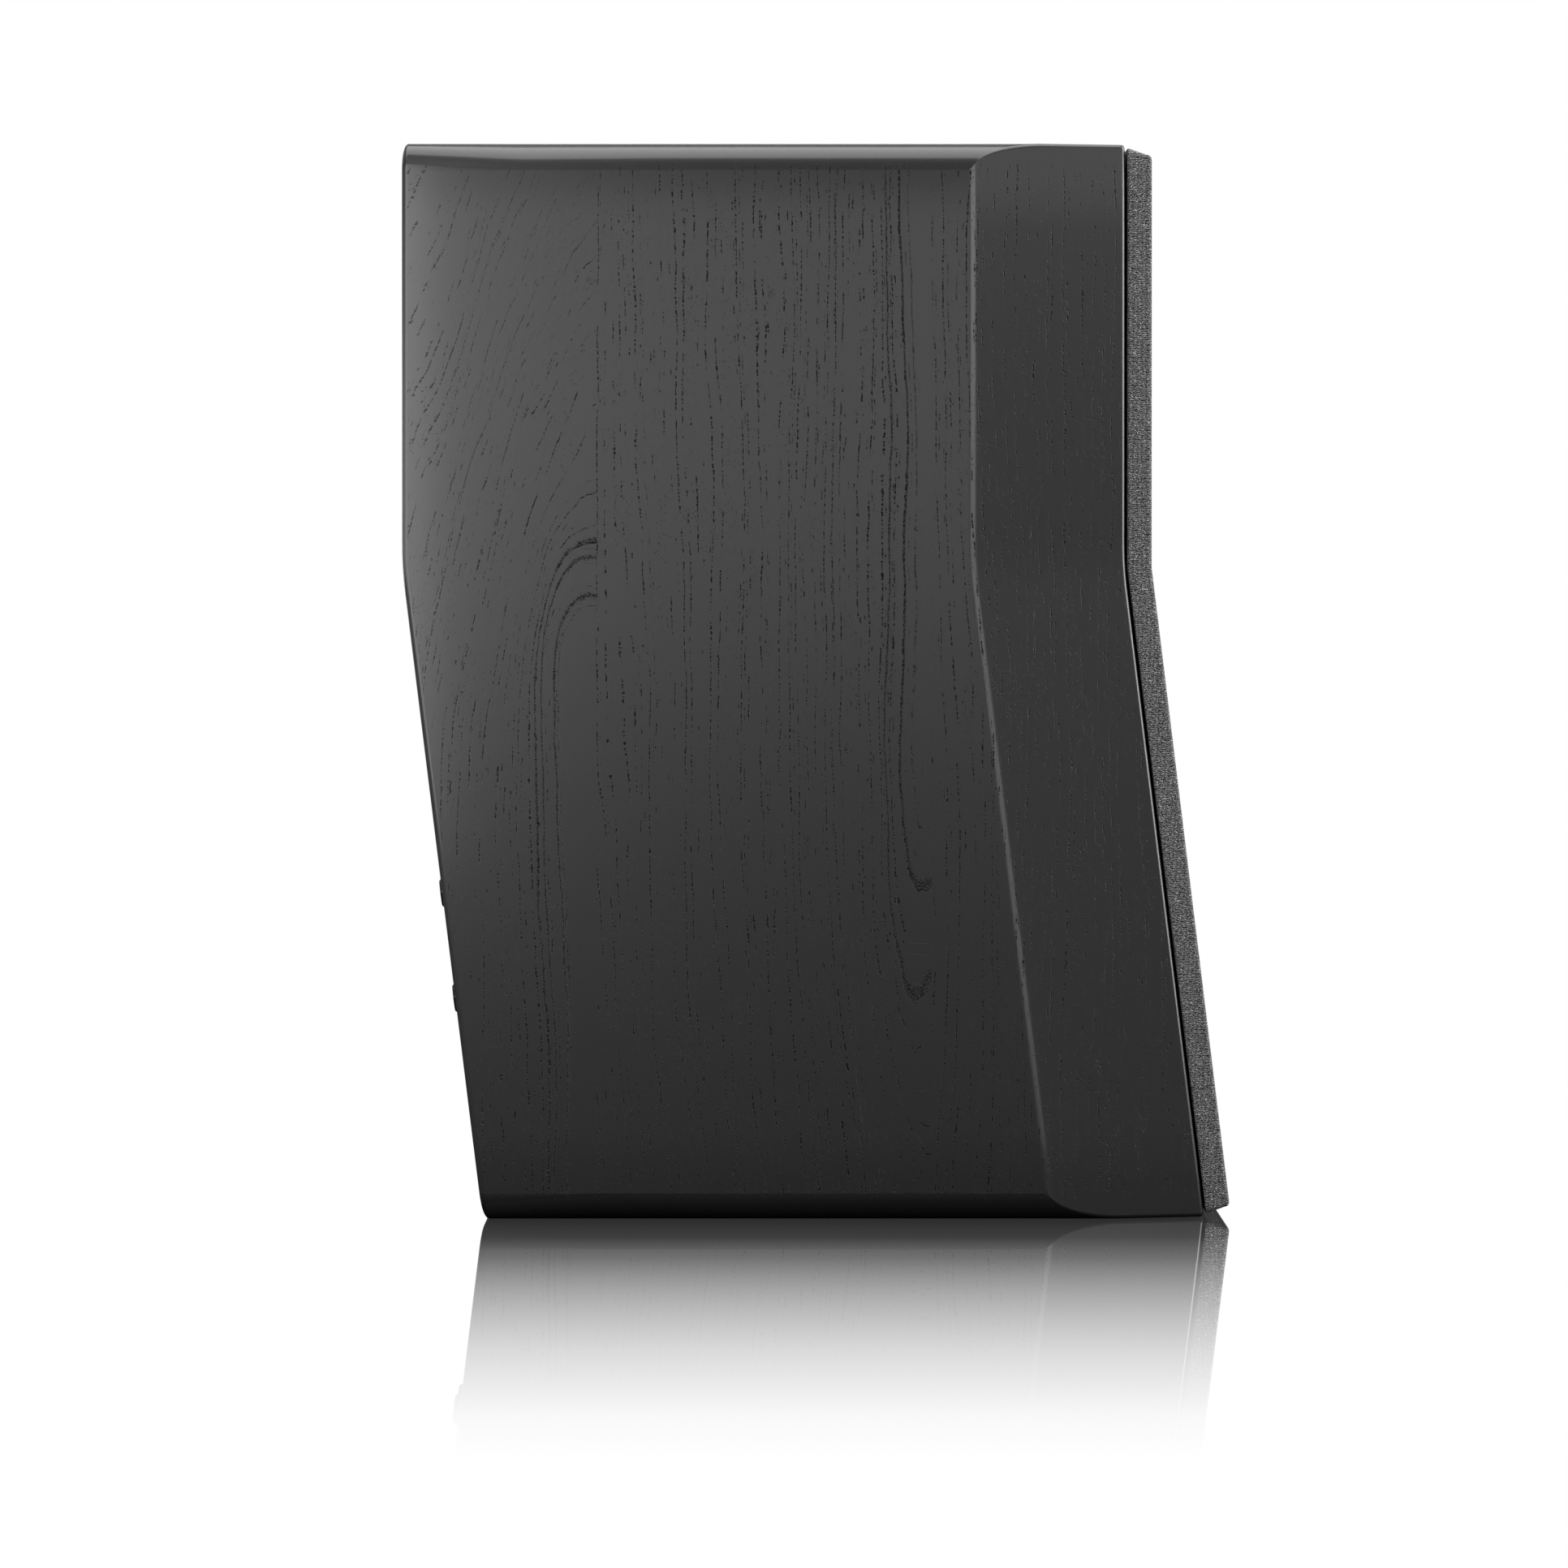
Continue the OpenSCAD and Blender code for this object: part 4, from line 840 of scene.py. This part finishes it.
def make_cabinet():
    rings, outside = cabinet_rings()
    n = len(rings[0])
    obj = new_mesh("cabinet_skin", sum(rings, []), band_faces(len(rings), n, closed=True))
    front_rounding, rear_rounding = range(END_STEPS), range(outside - END_STEPS - 1, outside)
    grain = obj.data.uv_layers.new(name="grain")
    for face in obj.data.polygons:
        band = face.index // n
        if outside + 1 <= band <= outside + 3:
            face.material_index = BARE_BOARD
        elif band in front_rounding or band in rear_rounding:
            face.material_index = STAINED_EDGE
        for k in face.loop_indices:
            p = obj.data.vertices[obj.data.loops[k].vertex_index].co
            run = wrap_length(p)
            grain.data[k].uv = (p.y, run if face.center.x < 0 else 2 * (HEIGHT + HALF_W) - run)
    tidy_mesh(obj)
    dress(obj, "cabinet", "black_oak", "cabinet_wrap", "bare_board", "stained_edge")


# ---- Grille cloth ----

GRILLE_GAP = 0.9 * MM
GRILLE_T = 8.9 * MM  # to the cloth's face, which bellies a little proud of the frame
GRILLE_INSET = 1.0 * MM
GRILLE_EDGE_R = 1.8 * MM
CLOTH_T = 0.5 * MM


def grille_ring(y, half_w, low, top, radius):
    """Closed outline of the cloth at one depth, with softly rounded corners."""
    corner = arc(half_w - radius, top - radius, radius, 0, 90, 6)
    levels = [z * MM for z in (12, *range(30, 181, 30), 205, 222, 229, 231, 233, 240,
                               *range(270, 331, 30), 355, 370)]
    right = [(x, low + top - z) for x, z in reversed(corner)] + [(half_w, z) for z in levels] + corner
    loop = right + [(-x, z) for x, z in reversed(right)]
    return [Vector((x, y + crease(z), z)) for x, z in loop], len(right)


def make_grille_cloth():
    """One sheet: it starts behind the frame's edge, wraps over its sides and covers its front."""
    back = Y_FRONT - GRILLE_GAP
    half = HALF_W - BEVEL_LEN * TAPER - GRILLE_INSET
    # How deep each ring of points is, and how far in: first under the frame, then on its sides
    hem = [(0.0, 6.5), (0.0, 0.8), (0.15, 0.25), (0.6, 0.0), (3, 0.0), (5, 0.0)]
    knee = [(GRILLE_T - GRILLE_EDGE_R * (1 - sin(a)), GRILLE_EDGE_R * (1 - cos(a)))
            for a in (radians(90 * i / 7) for i in range(8))]
    stations = [(d * MM, d * MM * TAPER + inset * MM) for d, inset in hem]
    side_end = (GRILLE_T - GRILLE_EDGE_R) * TAPER
    stations += [(d, side_end + extra) for d, extra in knee]
    verts = []
    for depth, inset in stations:
        loop, count = grille_ring(back - depth, half - inset, GRILLE_INSET + inset,
                                  HEIGHT - GRILLE_INSET - inset, max(2.0 * MM - inset * 0.3, 1.2 * MM))
        verts += loop
    n = 2 * count
    faces = band_faces(len(stations), n)
    last = (len(stations) - 1) * n
    columns = 20
    grid = []
    for k in range(count):
        a, b = verts[last + k], verts[last + n - 1 - k]
        row = [last + k]
        for c in range(1, columns):
            row.append(len(verts))
            verts.append(a.lerp(b, c / columns))
        grid.append(row + [last + n - 1 - k])
    for lower, upper in zip(grid, grid[1:]):
        faces += [(lower[c], lower[c + 1], upper[c + 1], upper[c]) for c in range(columns)]
    obj = tidy_mesh(new_mesh("grille_knit_sheet", verts, faces))
    modifier(obj, "thickness", "SOLIDIFY", thickness=CLOTH_T, offset=-1)
    dress(obj, "grille", "grille_cloth", "grille_cloth")


# ---- Damping pads ----

PAD_T = 12 * MM
PAD_CELL = 7 * MM  # spacing of the points over a pad
TOP_PAD_HALF = 68 * MM
BRACE_Z = 214 * MM  # middle of the shelf brace, which parts the side pads
BRACE_GAP = 10 * MM


def make_pad(name, seed, long, across, place):
    """Fleecy pad: flat where it is stuck to the wall, crowned and lumpy towards the room, thin at
    its edges. place(u, v, t) gives the point at u along, v across and t off the wall."""
    rng = np.random.default_rng(seed)
    nu, nv = max(int(long / PAD_CELL), 6), max(int(across / PAD_CELL), 6)
    lumps = rng.normal(0, 1, (nu + 1, nv + 1))
    verts, faces = [], []
    for t_side in (0, 1):
        for i in range(nu + 1):
            for j in range(nv + 1):
                u, v = i / nu * long, j / nv * across
                inward = min(min(u, long - u, v, across - v) / (0.8 * PAD_T), 1.0)
                swell = sqrt(inward * (2 - inward))
                off = PAD_T * (0.35 + 0.6 * swell) + 0.25 * MM * lumps[i, j] * swell
                verts.append(place(u, v, off if t_side else 0.1 * MM))
    n = (nu + 1) * (nv + 1)
    for i in range(nu):
        for j in range(nv):
            a, b = i * (nv + 1) + j, (i + 1) * (nv + 1) + j
            faces.append((a, a + 1, b + 1, b))
            faces.append((n + a, n + b, n + b + 1, n + a + 1))
    rim = ([i * (nv + 1) for i in range(nu + 1)] + [nu * (nv + 1) + j for j in range(1, nv + 1)]
           + [i * (nv + 1) + nv for i in range(nu - 1, -1, -1)] + [j for j in range(nv - 1, 0, -1)])
    for a, b in zip(rim, rim[1:] + rim[:1]):
        faces.append((a, b, n + b, n + a))
    obj = tidy_mesh(new_mesh(name, verts, faces))
    modifier(obj, "smooth", "SUBSURF", levels=1, render_levels=1)
    dress(obj, "cabinet", "wadding", "damping_pads")


def make_pads():
    """Two pads on each side wall, above and below the brace, and one under the top."""
    lo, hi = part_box("damping_pads")
    front_y = lo.y - lean(lo.z)  # the pads' front edge, taken back to the upright profile
    across = hi.y - front_y
    spans = {"low": (lo.z, BRACE_Z - BRACE_GAP), "high": (BRACE_Z + BRACE_GAP, hi.z - PAD_T - 4 * MM)}
    seed = 11
    for side_name, side in (("left", -1), ("right", 1)):
        for level, (z0, z1) in spans.items():
            def place(u, v, t, side=side, z0=z0):
                return (side * (hi.x - t), front_y + v + lean(z0 + u), z0 + u)
            make_pad(f"pad_{side_name}_{level}", seed, z1 - z0, across, place)
            seed += 1
    make_pad("pad_top", seed, 2 * TOP_PAD_HALF, across,
             lambda u, v, t: (u - TOP_PAD_HALF, front_y + v, hi.z - t))


# ---- Port ----

PORT_R = 25.4


def make_port():
    flare, lip, lip_t = 14, 42, 3
    joint, socket_end = -16, -34
    socket_r, collar_r = 28.1, 30.6
    outline = rounded(
        [*arc(PORT_R + flare, -flare, flare, 90, 180, 24), (PORT_R, joint), (socket_r, joint),
         (socket_r, socket_end), (collar_r, socket_end), (collar_r, -lip_t), (lip, -lip_t), (lip, 0, 0.8)])
    dress(lathe("port_mouth", outline, AT_PORT, 160), "cabinet", "moulded_black", "port_flange")
    start, end = joint - 0.1, -128
    wall, rim, rim_t = 2.6, 10, 2
    inner, outer = 9, 7.4  # radii of the flare at the tube's inner end
    tube = rounded(
        [(PORT_R, start), *arc(PORT_R + inner, end + inner, inner, 180, 270, 12)[:-1],
         (PORT_R + rim, end), (PORT_R + rim, end + rim_t),
         *arc(PORT_R + wall + outer, end + rim_t + outer, outer, 270, 180, 12)[1:],
         (PORT_R + wall, start)])
    dress(lathe("port_pipe", tube, AT_PORT, 96), "cabinet", "moulded_black", "port_tube")


# ---- Woofer ----

CONE_R = 57.5
COIL_R = 16.4
SEAT = -1.5
CONE_NECK = -34
ROLL_R = 5
ROLL_MID = CONE_R + ROLL_R


def cone_level(r):
    u = max((r - COIL_R) / (CONE_R - COIL_R), 0)
    return CONE_NECK + (SEAT - CONE_NECK) * u ** 0.88


def bend_between(obj, inner, outer):
    """Bakes the ring's placement into its mesh. The inner and outer radii are not used."""
    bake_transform(obj)


def shell_of_ball(rim, rise, level, thickness, steps=20):
    """Outline of a thin dome."""
    ball = (rim ** 2 + rise ** 2) / (2 * rise)
    reach = asin(rim / ball)
    base = level + rise - ball
    angles = [reach * i / steps for i in range(steps + 1)]
    thin = ball - thickness
    return ([(ball * sin(a), base + ball * cos(a)) for a in angles]
            + [(thin * sin(a), base + thin * cos(a)) for a in reversed(angles)])


def ring_outline(curve, thickness):
    """Closed outline of a thin turned sheet from its upper line."""
    return curve + [(r, h - thickness) for r, h in reversed(curve)]


def make_woofer():
    steps = 28
    radii = [COIL_R + 0.05 + (CONE_R - 0.3 - COIL_R) * i / steps for i in range(steps + 1)]
    cone = ring_outline([(r, cone_level(r) - 0.05) for r in radii], 0.9)
    dress(lathe("cone_shell", cone, AT_WOOFER, 160), "woofer_cone_assembly", "cone_composite",
          "woofer_cone")
    cap_r = 21
    cap = shell_of_ball(cap_r, 7, cone_level(cap_r) + 0.15, 0.7, 24)
    dress(lathe("dust_dome", cap, AT_WOOFER, 128), "woofer_cone_assembly", "gloss_black", "woofer_dust_cap")
    lip, clamp_r = 0.6, 73.6
    roll = ([(CONE_R - 3, SEAT + lip), (CONE_R - 1, SEAT + lip)]
            + arc(ROLL_MID, SEAT, ROLL_R, 172, 8, 40)
            + [(ROLL_MID + ROLL_R + 1, SEAT + lip), (clamp_r, SEAT + lip), (clamp_r, SEAT),
               (ROLL_MID + ROLL_R + 0.3, SEAT)]
            + arc(ROLL_MID, SEAT, ROLL_R - lip, 4, 176, 40)
            + [(ROLL_MID - ROLL_R - 0.3, SEAT), (CONE_R - 3, SEAT)])
    surround = lathe("rubber_roll", roll, AT_WOOFER, 160)
    dress(surround, None, "roll_rubber", "woofer_surround")
    bend_between(surround, CONE_R, ROLL_MID + ROLL_R)
    lip_r, spider_r, spider_z, waves, wave_h, count = 40.5, 45.5, -42.9, 5, 1.5, 90
    inner = COIL_R + 0.05
    wave = [(inner + (lip_r - inner) * i / count, spider_z + wave_h * sin(2 * pi * waves * (1 - i / count)))
            for i in range(count + 1)]
    spider = lathe("spider_disc", ring_outline(wave + [(spider_r, spider_z)], 0.5), AT_WOOFER, 96)
    dress(spider, None, "resin_cloth", "woofer_spider")
    bend_between(spider, inner, lip_r)
    trim_in, trim_out, trim_top = 68.4, 73.8, 1.3
    trim = rounded([(trim_in, SEAT + lip), (trim_out, SEAT + lip), (trim_out, trim_top, 0.7),
                    (trim_in + 1.8, trim_top, 1.2), (trim_in, 0.1, 0.4)])
    dress(lathe("trim_hoop", trim, AT_WOOFER, 160), "cabinet", "moulded_black", "woofer_trim_ring")
    braids = NODES["woofer_tinsel_leads"].data.copy()
    braids.name = "tinsel_braid"
    braids.shade_smooth()
    braids.materials.clear()
    leads = add_object(braids)
    dress(leads, None, "tinsel", "woofer_tinsel_leads")
    braid_start, braid_end = 18.3, 40
    bend_between(leads, braid_start, braid_end)


# ---- Tweeter ----

THROAT = -7
DOME_R = 12.8
DOME_LEVEL = THROAT - 0.9


def make_faceplate():
    mouth, throat, horn = 35, 16.6, 5.4
    hole, edge, thick = 39, 52, 4
    screw_r = 46.5 * MM
    flare = [(mouth - (mouth - throat) * sin(radians(a)), -horn * (1 - cos(radians(a))))
             for a in range(0, 91, 4)]
    outline = rounded(flare + [(throat, THROAT), (24, THROAT), (28, THROAT + 1),
                               (hole - 0.6, -thick - 1), (hole - 0.6, -thick), (edge, -thick),
                               (edge, 0, 0.8)])
    plate = lathe("horn_plate", outline, AT_TWEETER, 160)
    for i in range(4):
        a = radians(45 + 90 * i)
        at = AT_TWEETER @ Matrix.Translation((screw_r * cos(a), screw_r * sin(a), 0))
        well = rounded([(0, -2.5, 0), (3.1, -2.5, 0), (3.1, -0.3, 0),
                        (3.4, 0.2, 0), (0, 0.2, 0)])
        cut_out(plate, lathe(f"well_{i}", well, at, 32))
        shank = [(0, -6), (1.9, -6), (1.9, -2), (0, -2)]
        cut_out(plate, lathe(f"hole_{i}", shank, at, 24))
    dress(plate, "cabinet", "satin_faceplate", "tweeter_faceplate")


def cut_out(obj, tool):
    """Takes tool away from obj, and removes tool."""
    mod = modifier(obj, "cut", "BOOLEAN", operation="DIFFERENCE", object=tool, solver="EXACT")
    graph = bpy.context.evaluated_depsgraph_get()
    mesh = bpy.data.meshes.new_from_object(obj.evaluated_get(graph))
    obj.modifiers.remove(mod)
    obj.data = mesh
    bpy.data.objects.remove(tool)


def make_guard():
    """Domed cover with rows of round holes, each ringed by its own faces."""
    rim, rise, level, thickness = 16.4, 4.4, -5.6, 0.5
    ball = (rim ** 2 + rise ** 2) / (2 * rise)
    pitch, hole = 1.9, 0.68
    verts, faces, index = [], [], {}

    def point(x, y):
        key = (round(x * 1e4), round(y * 1e4))
        if key not in index:
            r2 = min(x * x + y * y, ball ** 2)
            index[key] = len(verts)
            verts.append(AT_TWEETER @ (MM * Vector((x, y, level + rise - ball + sqrt(ball ** 2 - r2)))))
        return index[key]

    row_step = pitch * sqrt(3) / 2
    rows = int(rim / row_step) + 2
    corner = [radians(30 + 30 * k) for k in range(12)]
    for j in range(-rows, rows + 1):
        for i in range(-rows - 4, rows + 5):
            cx = (i + (j % 2) / 2) * pitch
            cy = j * row_step
            if hypot(cx, cy) > rim - pitch * 0.55:
                continue
            outer = []
            for k, a in enumerate(corner):
                reach = pitch / sqrt(3) if k % 2 == 0 else pitch / 2
                outer.append(point(cx + reach * cos(a), cy + reach * sin(a)))
            inner = [point(cx + hole * cos(a), cy + hole * sin(a)) for a in corner]
            faces += [(outer[k], outer[(k + 1) % 12], inner[(k + 1) % 12], inner[k]) for k in range(12)]
    guard = tidy_mesh(new_mesh("guard_screen", verts, faces))
    modifier(guard, "thickness", "SOLIDIFY", thickness=thickness * MM, offset=-1)
    dress(guard, "cabinet", "guard_mesh", "tweeter_guard")
    # The rim that the screen is pressed into
    hoop = rounded([(rim - 1.5, level - 0.5), (rim, level - 0.5), (rim, level + 0.1),
                    (rim - 1.3, level + 0.75)], 0.2, 3)
    dress(lathe("guard_hoop", hoop, AT_TWEETER, 96), "cabinet", "guard_mesh", "tweeter_guard")


def make_tweeter():
    make_faceplate()
    make_guard()
    dome = shell_of_ball(DOME_R, 4.2, DOME_LEVEL, 0.25)
    skirt = [(DOME_R - 0.3, DOME_LEVEL - 4.6), (DOME_R, DOME_LEVEL - 4.6), (DOME_R, DOME_LEVEL)]
    outline = skirt + dome[:21][::-1] + dome[21:][::-1]
    dress(lathe("foil_dome", outline, AT_TWEETER, 96), "tweeter_diaphragm", "dome_metal", "tweeter_dome")
    roll, t = 1.5, 0.3
    lip_in, lip_out = 16.65, 20
    mid = DOME_R + 0.4 + roll
    level = THROAT - 0.6
    edge = ([(DOME_R + 0.05, level - t), (DOME_R + 0.05, level)]
            + arc(mid, level, roll, 180, 0, 20)
            + [(lip_in, level), (lip_in, level + t), (lip_out, level + t), (lip_out, level - t),
               (mid + roll - t, level - t)]
            + arc(mid, level, roll - t, 0, 180, 20) + [(mid - roll + t, level - t)])
    ring_piece = lathe("edge_roll", edge, AT_TWEETER, 96)
    dress(ring_piece, None, "roll_rubber", "tweeter_surround")
    bend_between(ring_piece, DOME_R + 0.4, mid + roll)


# ---- Terminals ----

CUP_FLOOR = -22
COLLAR_H = 5
JUMPER_TOP = CUP_FLOOR + COLLAR_H + 1.2
WASHER_LOW = JUMPER_TOP + 0.1
NUT_LOW = WASHER_LOW + 1.3
NUT_PROUD = 4.8  # its tapered tip, which just clears the cabinet's rear edge
NUT_SHOULDER = 1.0
NUT_R = 8
STUD_R = 3.9
FLUTES = 14


def at_post(name):
    x, y = POSTS[name]
    return AT_TERMINALS @ Matrix.Translation((x * POST_XY, y * POST_XY, 0))


def fluted(r, h, a):
    """Radius of a thumb nut with scallops cut into its barrel."""
    if r < NUT_R - 1.0 or h < NUT_LOW + 2.8 or h > NUT_SHOULDER - 0.6:
        return r
    wave = 0.5 + 0.5 * cos(FLUTES * a)
    return r - 0.65 * wave ** 3


def make_posts():
    for name, (x, _) in POSTS.items():
        slot = "gloss_red" if x > 0 else "gloss_black"
        barrel = rounded([
            (STUD_R + 0.05, NUT_LOW), (NUT_R, NUT_LOW, 0.8), (NUT_R, NUT_LOW + 2.4, 0.4),
            (NUT_R - 0.35, NUT_LOW + 2.7, 0.2), (NUT_R - 0.1, NUT_LOW + 3.1, 0.2),
            (NUT_R - 0.1, NUT_SHOULDER, 1.0), (STUD_R + 0.6, NUT_PROUD, 0.5),
            (STUD_R + 0.05, NUT_PROUD - 0.4, 0.1)],
            0.2, 3)
        nut = lathe("nut_" + name, barrel, at_post(name), FLUTES * 10, fluted)
        dress(nut, name + "_nut", slot, name + "_nut")


# ---- CAD nodes that keep their shape ----

# The finish, and the width in millimetres that its edges are broken by
KEPT = {
    "black_panel": {"front_baffle": 0.4},
    "black_oak_flat": {"rear_panel": 0.4},
    "bare_board": {"shelf_brace": 0.5},
    "moulded_black": {"terminal_cup": 0.5, "woofer_terminal_strip": 0.2, "tweeter_chamber": 0.6,
                      "grille_frame": 0.5},
    "black_steel": {"terminal_cup_screws": 0.2, "woofer_screws": 0.2, "tweeter_screws": 0.2},
    "gold_plate": {"post_studs": 0.15, "jumper_plates": 0.2,
                   **{post + "_washer": 0.15 for post in POSTS}},
    "gloss_red": {"red_post_collars": 0.4},
    "gloss_black": {"black_post_collars": 0.4},
    "bright_steel": {"post_lock_nuts": 0.15, "crossover_standoffs": 0.2, "woofer_top_plate": 0.4,
                     "woofer_yoke": 0.4, "tweeter_top_plate": 0.3, "tweeter_yoke": 0.3},
    "circuit_board": {"crossover_board": 0.1},
    "copper_wire": {"crossover_coils": 0.8, "woofer_voice_coil": 0.1, "tweeter_voice_coil": 0},
    "film_wrap": {"crossover_capacitors": 1.0},
    "ceramic": {"crossover_resistors": 0.5},
    "red_insulation": {"input_leads": 0, "woofer_leads": 0, "tweeter_leads": 0},
    "cast_alloy": {"woofer_basket": 0.5},
    "foam_rubber": {"woofer_gasket": 0.1, "tweeter_gasket": 0.1},
    "ferrite": {"woofer_magnet": 0.8, "tweeter_magnet": 0.6},
    "foil_former": {"woofer_former": 0},
    "magnet_nickel": {"grille_magnets": 0.2, "baffle_magnets": 0.2},
}


def dress_kept_nodes():
    for finish, nodes in KEPT.items():
        for name, bevel in nodes.items():
            dress_node(name, FINISHES[finish], bevel * MM)


# ---- Everything ----

make_camera()
make_world()
make_floor()
light_scene()
bpy.context.scene.view_settings.view_transform = "Standard"
make_cabinet()
make_grille_cloth()
make_pads()
make_port()
make_woofer()
make_tweeter()
make_posts()
dress_kept_nodes()
